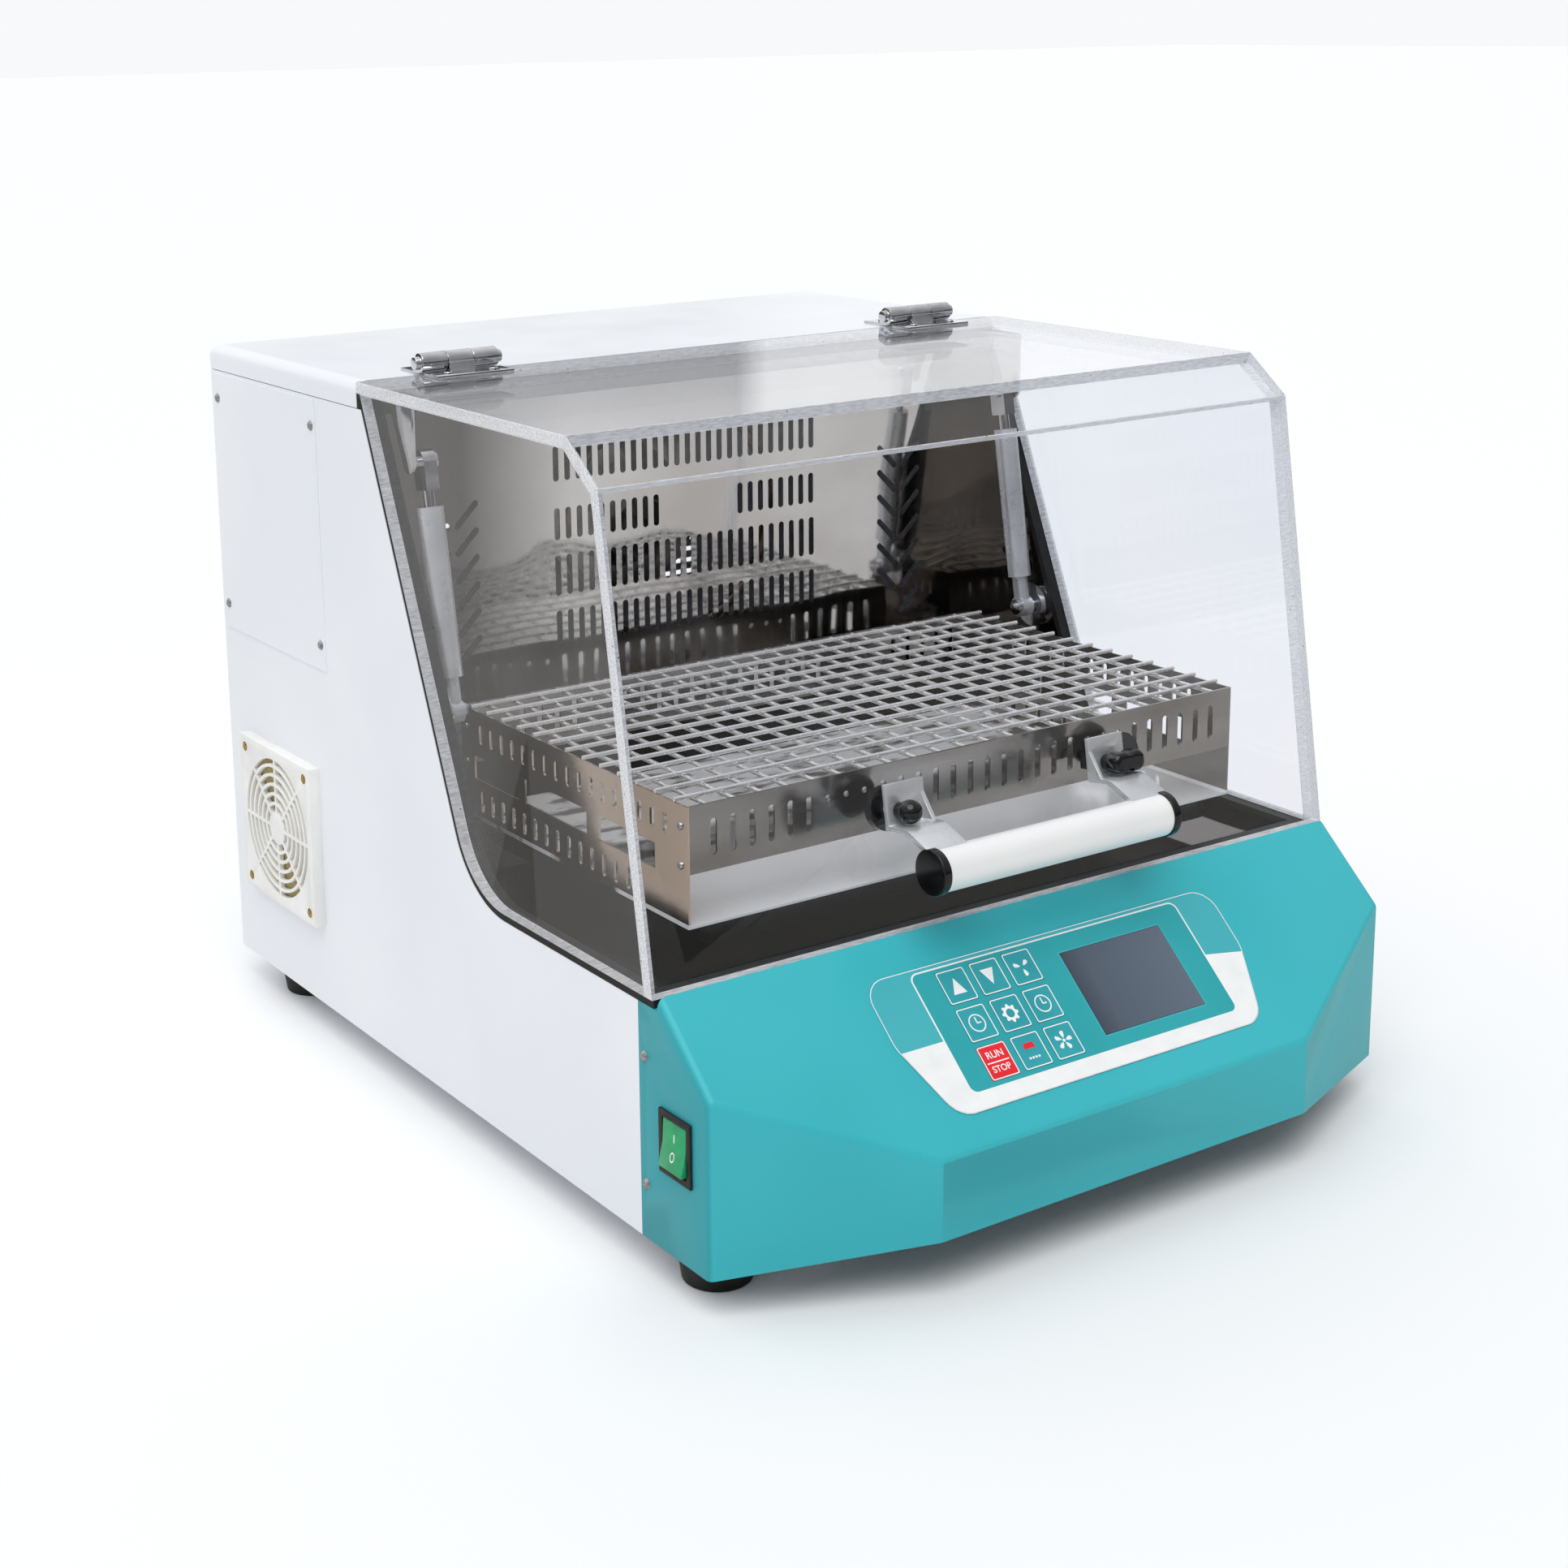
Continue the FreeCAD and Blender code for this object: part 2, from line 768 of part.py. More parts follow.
def access_screw_points():
    near = "-(access_rear + access_screw_inset)"
    far = "-(access_rear + access_length - access_screw_inset)"
    top = "seam_height - access_drop - access_screw_drop"
    foot = "seam_height - access_drop - access_height + access_screw_drop"
    return [("-(half_width + access_sheet)", y, z) for y in (near, far) for z in (foot, top)]


def fan_screw_points():
    return [("-(half_width + guard_proud)",
             "-fan_depth + (%d) * fan_screw_pitch / 2" % across,
             "fan_height + (%d) * fan_screw_pitch / 2" % up)
            for across in (-1, 1) for up in (-1, 1)]


def cover_screw_points():
    return [(x, "-cover_screw_depth", z) for x in ("-half_width", "half_width")
            for z in ("cover_screw_low", "cover_screw_high")]


def rear_screw_points():
    return [(x, "0", z) for x in ("-(half_width - access_margin)", "half_width - access_margin")
            for z in ("access_screw_drop", "seam_height - access_screw_drop")]


def make_casing():
    """Pan, sides, top, rear panel and access panel of the cabinet."""
    wide = "panel_inner - pan_fit"
    narrow = "half_width - cover_wall - pan_fit"
    pan_front = "-(facet_depth - cover_wall)"

    def pan_corners(inset):
        half_rear = "(%s - %s)" % (wide, inset)
        half_front = "(%s - %s)" % (narrow, inset)
        rear = "-(panel_sheet + pan_fit + %s)" % inset
        step = "-(side_depth - %s)" % inset
        front = "%s + %s" % (pan_front, inset)
        return [("-" + half_rear, rear), ("-" + half_rear, step), ("-" + half_front, step),
                ("-" + half_front, front), (half_front, front), (half_front, step),
                (half_rear, step), (half_rear, rear)]
    pan = plate("pan_outer", "XY", "0", pan_corners("0"), "pan_lip")
    hollow = plate("pan_hollow", "XY", "panel_sheet", pan_corners("panel_sheet"), "pan_lip")
    node("base_pan", cut("base_pan_sheet", pan, hollow))

    left = side_plate("left_sheet", "-half_width", "panel_sheet")
    fan_mouth = rod("left_fan_mouth", "x", ("-half_width - overrun", "-fan_depth", "fan_height"),
                    "fan_bore_radius", "panel_sheet + 2 * overrun")
    hatch = block("left_hatch", ("-half_width - overrun", "-half_width + panel_sheet + overrun"),
                  ("-(access_rear + access_length - access_margin)", "-(access_rear + access_margin)"),
                  ("seam_height - access_drop - access_height + access_screw_drop + access_margin",
                   "seam_height - access_drop - access_screw_drop - access_margin"))
    fan_points = [("-half_width", y, z) for x, y, z in fan_screw_points()]
    left_holes = [screw_hole("left_hole_%d" % index, "x", point) for index, point in
                  enumerate(access_screw_points() + fan_points)]
    node("side_panel_left", cut("side_panel_left_sheet", left, fan_mouth, hatch, *left_holes))
    node("side_panel_right", side_plate("right_sheet", "half_width - panel_sheet", "panel_sheet"))

    top_low = "seam_height + seam_gap"
    top = plate("top_outer", "XY", top_low,
                [("-half_width", "0"), ("-half_width", "-top_depth"), ("half_width", "-top_depth"),
                 ("half_width", "0")], "body_height - seam_height - seam_gap")
    crown = number("body_height")
    front = number("top_depth")
    match = number("edge_match")

    def top_edge(edge):
        middle = edge.CenterOfMass
        at_front = abs(middle.y + front) < match
        return abs(middle.z - crown) < match and not at_front
    round_edges(top, "top_round", top_edge)
    hollow = block("top_hollow", ("-panel_inner", "panel_inner"),
                   ("-(top_depth - panel_sheet)", "-panel_sheet"),
                   (top_low + " - overrun", "body_height - panel_sheet - top_round * top_hollow_share"))
    node("top_cover", cut("top_cover_shell", top, hollow))

    rear = plate("rear_sheet", "XZ", "0",
                 [("-panel_inner", "0"), ("panel_inner", "0"), ("panel_inner", "seam_height"),
                  ("-panel_inner", "seam_height")], "panel_sheet")
    for side in ("-", ""):
        centre = side + "vent_offset"
        slot_row(rear, "XZ", "panel_sheet + overrun", "panel_sheet + 2 * overrun",
                 (centre + " - vent_length / 2", "vent_low"),
                 (centre + " + vent_length / 2", "vent_low"), "vent_width", "V", "vent_pitch",
                 "vent_count")
    half_mouth = "(inlet_width / 2 - inlet_wall)"
    half_rise = "(inlet_height / 2 - inlet_wall)"
    mouth = block("rear_inlet_mouth",
                  ("inlet_offset - " + half_mouth, "inlet_offset + " + half_mouth),
                  ("-panel_sheet - overrun", "overrun"),
                  ("inlet_level - " + half_rise, "inlet_level + " + half_rise))
    rear_holes = [screw_hole("rear_hole_%d" % index, "y", point)
                  for index, point in enumerate(rear_screw_points())]
    node("rear_panel", cut("rear_panel_sheet", rear, mouth, *rear_holes))

    access = block("access_sheet_blank", ("-(half_width + access_sheet)", "-half_width"),
                   ("-(access_rear + access_length)", "-access_rear"),
                   ("seam_height - access_drop - access_height", "seam_height - access_drop"))
    access_holes = [screw_hole("access_hole_%d" % index, "x", point)
                    for index, point in enumerate(access_screw_points())]
    node("access_panel", cut("access_panel_sheet", access, *access_holes))

    screws = [screw("access_screw_%d" % index, "x", point, "-")
              for index, point in enumerate(access_screw_points())]
    screws += [screw("cover_screw_%d" % index, "x", point, "-" if point[0].startswith("-") else "+")
               for index, point in enumerate(cover_screw_points())]
    screws += [screw("rear_screw_%d" % index, "y", point, "+")
               for index, point in enumerate(rear_screw_points())]
    node("case_screws", group("case_screw_set", *screws))


def make_front_cover():
    """Moulded cover: the sloping panel cut by two facets, hollow inside."""
    outer = plate("cover_outer", "YZ", "-half_width",
                  [("-side_depth", "0"), ("-facet_depth", "0"), ("-body_depth", "chin_rise"),
                   ("-body_depth", "brow_height"), ("-lip_depth", "lip_height"),
                   ("-lip_depth", "deck_height"), ("-side_depth", "deck_height")], "body_width")
    for side in ("-", ""):
        sketch = new_sketch(outer, "XY", "lip_height + overrun")
        out = side + "(half_width + overrun)"
        beyond = "-(body_depth + overrun)"
        draw_outline(sketch, [(side + "half_width", "-facet_depth"), (out, "-facet_depth"),
                              (out, beyond), (side + "half_centre", beyond),
                              (side + "half_centre", "-body_depth")])
        pocket(outer, sketch, "lip_height + 2 * overrun")
    lip = number("lip_depth")
    chin = number("chin_rise")
    match = number("edge_match")

    def outside_edge(edge):
        middle = edge.CenterOfMass
        return middle.y < -lip - match and middle.z > chin + match
    round_edges(outer, "cover_round", outside_edge)

    def inner_height(depth):
        return "lip_height - (%s - lip_depth) * panel_fall / panel_run - cover_wall / panel_cos" % depth
    shelf = "deck_height - cover_wall"
    behind_lip = "(lip_depth + cover_wall)"
    inside_front = "(body_depth - cover_wall)"
    section = plate("cover_inner_section", "YZ", "-half_width",
                    [("-(side_depth - overrun)", "-overrun"), ("-" + inside_front, "-overrun"),
                     ("-" + inside_front, inner_height(inside_front)),
                     ("-" + behind_lip, inner_height(behind_lip)), ("-" + behind_lip, shelf),
                     ("-(side_depth - overrun)", shelf)], "body_width")
    plan = plate("cover_inner_plan", "XY", "-2 * overrun", plan_corners("cover_wall"),
                 "lip_height + 2 * overrun")
    hollow = meet("cover_hollow", section, plan)
    through = ("-cover_wall - overrun", "overrun")
    key_well = panel_block("cover_key_well",
                           ("-key_first_across - key_width / 2 - key_gap",
                            "-key_first_across + 2 * key_pitch + key_width / 2 + key_gap"),
                           ("key_first_down - key_length / 2 - key_gap",
                            "key_first_down + 2 * key_pitch + key_length / 2 + key_gap"),
                           through)
    display_well = panel_block("cover_display_well", ("display_left", "display_left + display_width"),
                               ("display_top", "display_top + display_height"), through)
    half_well = "(bezel_width / 2 - bezel_rim)"
    half_rise = "(bezel_height / 2 - bezel_rim)"
    switch_well = block("cover_switch_well",
                        ("-half_width - overrun", "-half_width + cover_wall + overrun"),
                        ("-rocker_depth - " + half_well, "-rocker_depth + " + half_well),
                        ("rocker_height - " + half_rise, "rocker_height + " + half_rise))
    holes = [screw_hole("cover_hole_%d" % index, "x", point)
             for index, point in enumerate(cover_screw_points())]
    node("front_cover", cut("front_cover_shell", outer, hollow, key_well, display_well, switch_well,
                            *holes))


def make_feet():
    feet = []
    for x in ("-(half_width - foot_inset)", "half_width - foot_inset"):
        for y in ("-foot_rear", "-foot_front"):
            feet.append(cone("foot_%d" % len(feet), "z", (x, y, "-foot_height"),
                             "foot_radius - foot_taper", "foot_radius", "foot_height"))
    node("feet", group("foot_set", *feet))


def make_fan():
    """Cooling fan: guard, filter, frame and rotor, all about one axis across the left side."""
    axis_y = "-fan_depth"
    axis_z = "fan_height"
    face = "-(half_width + guard_proud)"

    def square(name, x, size):
        half = "(%s) / 2" % size
        return block(name, x, ("-fan_depth - " + half, "-fan_depth + " + half),
                     ("fan_height - " + half, "fan_height + " + half))

    def disc(name, x, radius, length):
        return rod(name, "x", (x, axis_y, axis_z), radius, length)
    shell = cut("guard_shell", square("guard_blank", (face, "-half_width"), "guard_size"),
                square("guard_recess", (face + " + guard_face", "-half_width + overrun"),
                       "guard_size - 2 * guard_rim"),
                disc("guard_mouth", face + " - overrun", "guard_mouth_radius", "guard_face + 2 * overrun"))
    grille = [disc("guard_hub", face, "guard_hub_radius", "guard_face")]
    for index in range(1, int(number("guard_rings")) + 1):
        outer = "guard_hub_radius + %d * guard_ring_pitch" % index
        grille.append(cut("guard_ring_%d" % index,
                          disc("guard_ring_outer_%d" % index, face, outer, "guard_face"),
                          disc("guard_ring_inner_%d" % index, face + " - overrun",
                               outer + " - guard_ring_wall", "guard_face + 2 * overrun")))
    count = int(number("guard_spokes"))
    for index in range(count):
        spoke = document.addObject("Part::Box", "guard_spoke_%d" % index)
        bind(spoke, Length="guard_face", Width="guard_ring_wall",
             Height="guard_mouth_radius + guard_rim - guard_hub_radius / 2")
        turn = FreeCAD.Rotation(FreeCAD.Vector(1, 0, 0), 360 * index / count)
        local = FreeCAD.Vector(0, -number("guard_ring_wall") / 2, number("guard_hub_radius") / 2)
        centre = FreeCAD.Vector(number(face), -number("fan_depth"), number("fan_height"))
        spoke.Placement = FreeCAD.Placement(centre + turn.multVec(local), turn)
        grille.append(spoke)
    bosses = []
    for index, (x, y, z) in enumerate(fan_screw_points()):
        bosses.append(rod("guard_boss_%d" % index, "x", (x, y, z), "screw_head_radius + screw_fit",
                          "guard_proud"))
    holes = [screw_hole("guard_hole_%d" % index, "x", point)
             for index, point in enumerate(fan_screw_points())]
    node("fan_guard", cut("fan_guard_moulding", join("guard_body", shell, *(grille + bosses)), *holes))

    filter_half = "guard_size - 2 * guard_rim - 2 * filter_gap"
    mat = square("filter_mat", ("-half_width - filter_thick - filter_gap", "-half_width - filter_gap"),
                 filter_half)
    boss_clearance = [rod("filter_notch_%d" % index, "x", (x, y, z),
                          "screw_head_radius + screw_fit + filter_gap", "guard_proud + overrun")
                      for index, (x, y, z) in enumerate(fan_screw_points())]
    node("fan_filter", cut("fan_filter_mat", mat, *boss_clearance))

    screws = []
    for index, (x, y, z) in enumerate(fan_screw_points()):
        head = cone("guard_screw_head_%d" % index, "x",
                    ("(%s) - screw_head_height * screw_sunk_share" % x, y, z),
                    "screw_head_radius * screw_dome_share", "screw_head_radius",
                    "screw_head_height * screw_sunk_share")
        shank = rod("guard_screw_shank_%d" % index, "x", (x, y, z), "screw_radius",
                    "guard_proud + panel_sheet + fan_thick / 2")
        screws.append(join("guard_screw_%d" % index, head, shank))
    node("fan_guard_screws", group("guard_screw_set", *screws))

    frame_x = "-panel_inner"
    blank = square("fan_frame_blank", (frame_x, frame_x + " + fan_thick"), "fan_size")
    frame = cut("fan_frame_ring", blank,
                disc("fan_frame_bore", frame_x + " - overrun", "fan_bore_radius",
                     "fan_thick + 2 * overrun"))
    back = frame_x + " + fan_thick - fan_strut"
    motor = disc("fan_motor_cup", back, "fan_hub_radius", "fan_strut")
    struts = []
    for index, (across, up) in enumerate((("fan_bore_radius + fan_strut", "fan_strut / 2"),
                                          ("fan_strut / 2", "fan_bore_radius + fan_strut"))):
        struts.append(block("fan_strut_%d" % index, (back, back + " + fan_strut"),
                            ("-fan_depth - (%s)" % across, "-fan_depth + (%s)" % across),
                            ("fan_height - (%s)" % up, "fan_height + (%s)" % up)))
    spindle = disc("fan_spindle", back + " - fan_hub_length / 2", "fan_pin_radius",
                   "fan_hub_length / 2 + fan_strut")
    fan_holes = []
    for index, (x, y, z) in enumerate(fan_screw_points()):
        fan_holes.append(rod("fan_hole_%d" % index, "x", (frame_x + " - overrun", y, z),
                             "screw_radius + screw_fit", "fan_thick / 2 + 2 * overrun"))
    node("fan_frame", cut("fan_frame_moulding", join("fan_frame_body", frame, motor, spindle, *struts),
                          *fan_holes))

    rotor_x = back + " - side_play - fan_hub_length"
    parts = [disc("rotor_hub", rotor_x, "fan_hub_radius", "fan_hub_length")]
    blades = int(number("fan_blades"))
    for index in range(blades):
        blade = document.addObject("Part::Box", "rotor_blade_%d" % index)
        bind(blade, Length="fan_blade_sheet", Width="fan_blade_width",
             Height="rotor_tip - fan_hub_radius + overrun")
        spin = FreeCAD.Rotation(FreeCAD.Vector(1, 0, 0), 360 * index / blades)
        pitch = FreeCAD.Rotation(FreeCAD.Vector(0, 0, 1), number("fan_blade_pitch"))
        turn = spin.multiply(pitch)
        corner = FreeCAD.Vector(-number("fan_blade_sheet") / 2, -number("fan_blade_width") / 2, 0)
        local = turn.multVec(corner)
        lift = spin.multVec(FreeCAD.Vector(0, 0, number("fan_hub_radius - overrun")))
        centre = FreeCAD.Vector(number(rotor_x + " + fan_hub_length / 2"), -number("fan_depth"),
                                number("fan_height"))
        blade.Placement = FreeCAD.Placement(centre + lift + local, turn)
        parts.append(blade)
    bore = disc("rotor_bore", back + " - side_play - fan_hub_length / 2 - overrun",
                "fan_pin_radius + running_fit", "fan_hub_length")
    ring = cut("rotor_reach", disc("rotor_reach_blank", rotor_x + " - overrun", "fan_size",
                                   "fan_hub_length + 2 * overrun"),
               disc("rotor_reach_bore", rotor_x + " - 2 * overrun", "rotor_tip",
                    "fan_hub_length + 4 * overrun"))
    node("fan_rotor", cut("fan_rotor_moulding", join("rotor_body", *parts), bore, ring))


def make_inlet():
    """Power inlet with its socket and three contact blades."""
    low_x = "inlet_offset - inlet_width / 2"
    high_x = "inlet_offset + inlet_width / 2"
    low_z = "inlet_level - inlet_height / 2"
    high_z = "inlet_level + inlet_height / 2"
    flange = block("inlet_flange", (low_x, high_x), ("0", "inlet_proud"), (low_z, high_z))
    body = block("inlet_body", (low_x + " + inlet_wall + pan_fit", high_x + " - inlet_wall - pan_fit"),
                 ("-inlet_depth", "0"),
                 (low_z + " + inlet_wall + pan_fit", high_z + " - inlet_wall - pan_fit"))
    socket = block("inlet_socket", (low_x + " + 3 * inlet_wall", high_x + " - 3 * inlet_wall"),
                   ("-inlet_depth + inlet_wall", "inlet_proud + overrun"),
                   (low_z + " + 2 * inlet_wall", high_z + " - 2 * inlet_wall"))
    blades = []
    for index in (-1, 0, 1):
        middle = "inlet_offset + (%d) * inlet_pin_pitch" % index
        blades.append(block("inlet_blade_%d" % (index + 1),
                            (middle + " - inlet_pin_sheet / 2", middle + " + inlet_pin_sheet / 2"),
                            ("-inlet_depth", "-inlet_depth + inlet_pin_length"),
                            ("inlet_level - inlet_pin_width / 2", "inlet_level + inlet_pin_width / 2")))
    shell = cut("inlet_shell", join("inlet_blank", flange, body), socket)
    node("power_inlet", join("power_inlet_body", shell, *blades))


def make_chamber():
    """Mirror-polished liner: slotted rear wall, two sides and floor, and the lid gasket."""
    wall = plate("chamber_wall_sheet", "XZ", "chamber_rear",
                 [("-liner_inner", "chamber_floor_height"), ("liner_inner", "chamber_floor_height"),
                  ("liner_inner", "seam_height - liner_sheet"),
                  ("-liner_inner", "seam_height - liner_sheet")], "liner_sheet")
    face = "chamber_rear + liner_sheet + overrun"
    depth = "liner_sheet + 2 * overrun"
    inset = " + slot_width / 2"
    edge = "slot_pitch * (slot_count - 1) / 2"
    for name in ("row_one", "row_three", "row_four"):
        slot_row(wall, "XZ", face, depth, ("-" + edge, name + "_low" + inset),
                 ("-" + edge, name + "_high - slot_width / 2"), "slot_width", "H", "slot_pitch",
                 "slot_count")
    for start, stop in (("-" + edge, "-slot_inner_left"), ("slot_inner_right", edge)):
        count = max(1, 1 + round(number("(%s - (%s)) / slot_pitch" % (stop, start))))
        slot_row(wall, "XZ", face, depth, (start, "row_two_low" + inset),
                 (start, "row_two_high - slot_width / 2"), "slot_width", "H", "slot_pitch", str(count))
    for side in (-1, 1):
        for near, far, drop, count in (
                ("herring_inner", "herring_inner + herring_step", "0", "herring_inner_count"),
                ("herring_outer + herring_step", "herring_outer", "herring_pitch",
                 "herring_outer_count")):
            slot_row(wall, "XZ", face, depth,
                     ("(%d) * (%s)" % (side, far), "herring_low - " + drop),
                     ("(%d) * (%s)" % (side, near), "herring_low + herring_rise - " + drop),
                     "slot_width", "V", "herring_pitch", count)
    flange = block("chamber_wall_flange", ("-liner_inner", "liner_inner"),
                   ("-(top_depth - panel_sheet)", "-chamber_rear"),
                   ("seam_height - liner_sheet", "seam_height"))
    node("chamber_rear_wall", join("chamber_rear_wall_sheet", wall, flange))

    liners = []
    for index, offset in enumerate(("-liner_outer", "liner_inner")):
        sheet = side_plate("liner_sheet_%d" % index, offset, "liner_sheet")
        span = (offset + " - overrun", offset + " + liner_sheet + overrun")
        trim = block("liner_trim_%d" % index, span, ("-chamber_rear", "overrun"),
                     ("-overrun", "body_height"))
        foot = block("liner_foot_%d" % index, span, ("-body_depth", "overrun"),
                     ("-overrun", "chamber_floor_height - liner_sheet"))
        liners.append(cut("liner_%d" % index, sheet, trim, foot))
    node("chamber_sides", group("chamber_side_pair", *liners))

    under = "chamber_floor_height - liner_sheet"
    floor = block("floor_sheet", ("-liner_inner", "liner_inner"),
                  ("-side_depth", "-chamber_rear - liner_sheet"), (under, "chamber_floor_height"))
    upstand = block("floor_upstand", ("-liner_inner", "liner_inner"),
                    ("-side_depth", "-side_depth + liner_sheet"), (under, "deck_height"))
    shaft_holes = [rod("floor_hole_%d" % index, "z", (x, y, under + " - overrun"),
                       "shaft_radius + floor_hole_gap", "liner_sheet + 2 * overrun")
                   for index, (x, y) in enumerate(shaft_places())]
    node("chamber_floor", cut("chamber_floor_sheet", join("floor_blank", floor, upstand), *shaft_holes))

    strips = []
    outer = "half_width - gasket_inset"
    crown = "body_height - hood_sheet - lid_gap"
    face = "deck_height + gasket_thick"
    for index, offset in enumerate(("-(%s)" % outer, outer + " - gasket_width")):
        strip = plate("gasket_side_%d" % index, "YZ", offset,
                      [(slope_depth(crown, "0"), crown), (slope_depth("deck_height", "0"), "deck_height"),
                       ("-hood_foot_depth", "deck_height"), ("-hood_foot_depth", face),
                       (slope_depth(face, "gasket_thick"), face),
                       (slope_depth(crown, "gasket_thick"), crown)], "gasket_width")
        outer_bend = upright_at(slope_depth("deck_height", "0"), "deck_height", "y", "z")
        round_edges(strip, "bend_radius", outer_bend)
        inner_bend = upright_at(slope_depth(face, "gasket_thick"), face, "y", "z")
        round_edges(strip, "bend_radius - gasket_thick", inner_bend)
        strips.append(strip)
    strips.append(block("gasket_front", ("-(%s)" % outer, outer),
                        ("-hood_foot_depth", "-(side_depth + gasket_inset)"), ("deck_height", face)))
    for label, reach, low, high in (("crown", outer, "seam_height", crown),
                                    ("root", "liner_inner", "seam_height - gasket_thick", "seam_height")):
        strips.append(block("gasket_top_" + label, ("-(%s)" % reach, reach),
                            ("-(top_depth + gasket_thick)", "-top_depth"), (low, high)))
    node("lid_gasket", join("lid_gasket_ring", *strips))


def make_hood():
    """Five acrylic sheets: top, chamfer, front and two sides."""
    width = "2 * hood_half"
    top = plate("hood_top_sheet", "YZ", "-hood_half",
                [("-hood_rear", "body_height"), ("-hood_top_depth", "body_height"),
                 ("-inner_top_depth", "inner_top_height"), ("-hood_rear", "inner_top_height")], width)
    node("hood_top", top)
    chamfer = plate("hood_chamfer_sheet", "YZ", "-hood_half",
                    [("-hood_top_depth", "body_height"), ("-hood_knee_depth", "hood_knee_height"),
                     ("-inner_knee_depth", "inner_knee_height"),
                     ("-inner_top_depth", "inner_top_height")], width)
    node("hood_chamfer", chamfer)
    front = plate("hood_front_sheet", "YZ", "-hood_half",
                  [("-hood_knee_depth", "hood_knee_height"), ("-hood_foot_depth", "hood_foot_height"),
                   ("-inner_foot_depth", "hood_foot_height"), ("-inner_knee_depth", "inner_knee_height")],
                  width)
    holes = []
    for x in ("-left_knob_offset", "right_knob_offset"):
        hole = document.addObject("Part::Cylinder", "hood_knob_hole")
        bind(hole, Radius="knob_stem_radius + running_fit", Height="hood_sheet + 2 * overrun")
        holes.append(square_to_hood(hole, x, "knob_height", "-hood_sheet - overrun"))
    node("hood_front", cut("hood_front_drilled", front, *holes))
    sides = []
    away = "gasket_thick + lid_gap"
    for index, offset in enumerate(("-hood_half", "hood_half - hood_sheet")):
        corner = (slope_depth("hood_foot_height", away), "hood_foot_height")
        sheet = plate("hood_side_%d" % index, "YZ", offset,
                      [(slope_depth("inner_top_height", away), "inner_top_height"), corner,
                       ("-inner_foot_depth", "hood_foot_height"),
                       ("-inner_knee_depth", "inner_knee_height"),
                       ("-inner_top_depth", "inner_top_height")], "hood_sheet")
        sides.append(round_edges(sheet, "bend_radius - gasket_thick - lid_gap",
                                 upright_at(corner[0], corner[1], "y", "z")))
    node("hood_sides", group("hood_side_pair", *sides))


def make_hinges():
    """Two barrel hinges: fixed leaves with their pins, and leaves that turn with the hood."""
    fixed = []
    moving = []
    for index, centre in enumerate(("-hinge_offset", "hinge_offset")):
        axis = ("-top_depth", "hinge_height")
        third = "hinge_length / 3"

        def barrel(name, x, radius, length):
            return rod(name + "_%d" % index, "x", (x,) + axis, radius, length)
        start = centre + " - hinge_length / 2"
        outer = [barrel("knuckle_a", start, "knuckle_radius", third + " - side_play"),
                 barrel("knuckle_b", centre + " + hinge_length / 6 + side_play", "knuckle_radius",
                        third + " - side_play")]
        for side, low, high in (("a", start, centre + " - hinge_length / 6 - side_play"),
                                ("b", centre + " + hinge_length / 6 + side_play",
                                 centre + " + hinge_length / 2")):
            outer.append(block("fixed_web_%s_%d" % (side, index), (low, high),
                               ("-top_depth", "-(top_depth - hinge_web)"),
                               ("body_height", "hinge_height")))
        leaf = block("fixed_leaf_%d" % index, (start, centre + " + hinge_length / 2"),
                     ("-(top_depth - knuckle_radius - hinge_leaf / 2)",
                      "-(top_depth - hinge_leaf_depth)"),
                     ("body_height", "body_height + hinge_leaf"))
        pin = join("hinge_pin_%d" % index,
                   barrel("pin_shank", start + " - hinge_pin_reach", "hinge_pin_radius",
                          "hinge_length + 2 * hinge_pin_reach"),
                   barrel("pin_head_a", start + " - hinge_pin_reach", "hinge_pin_head",
                          "hinge_pin_reach"),
                   barrel("pin_head_b", centre + " + hinge_length / 2", "hinge_pin_head",
                          "hinge_pin_reach"))
        fixed.append(join("fixed_leaf_body_%d" % index, leaf, pin, *outer))

        middle = ("%s - hinge_length / 6" % centre, "%s + hinge_length / 6" % centre)
        knuckle = barrel("knuckle_c", middle[0], "knuckle_radius", third)
        web = block("moving_web_%d" % index, middle, ("-(top_depth + hinge_web)", "-top_depth"),
                    ("body_height + side_play", "hinge_height"))
        swing_leaf = block("moving_leaf_%d" % index, (start, centre + " + hinge_length / 2"),
                           ("-(top_depth + hinge_leaf_depth)",
                            "-(top_depth + knuckle_radius + hinge_leaf / 2)"),
                           ("body_height", "body_height + hinge_leaf"))
        bore = barrel("moving_bore", middle[0] + " - overrun", "hinge_pin_radius + running_fit",
                      third + " + 2 * overrun")
        moving.append(cut("moving_leaf_body_%d" % index,
                          join("moving_leaf_blank_%d" % index, knuckle, web, swing_leaf), bore))
    node("hinge_fixed_leaves", group("hinge_fixed_pair", *fixed))
    node("hinge_moving_leaves", group("hinge_moving_pair", *moving))


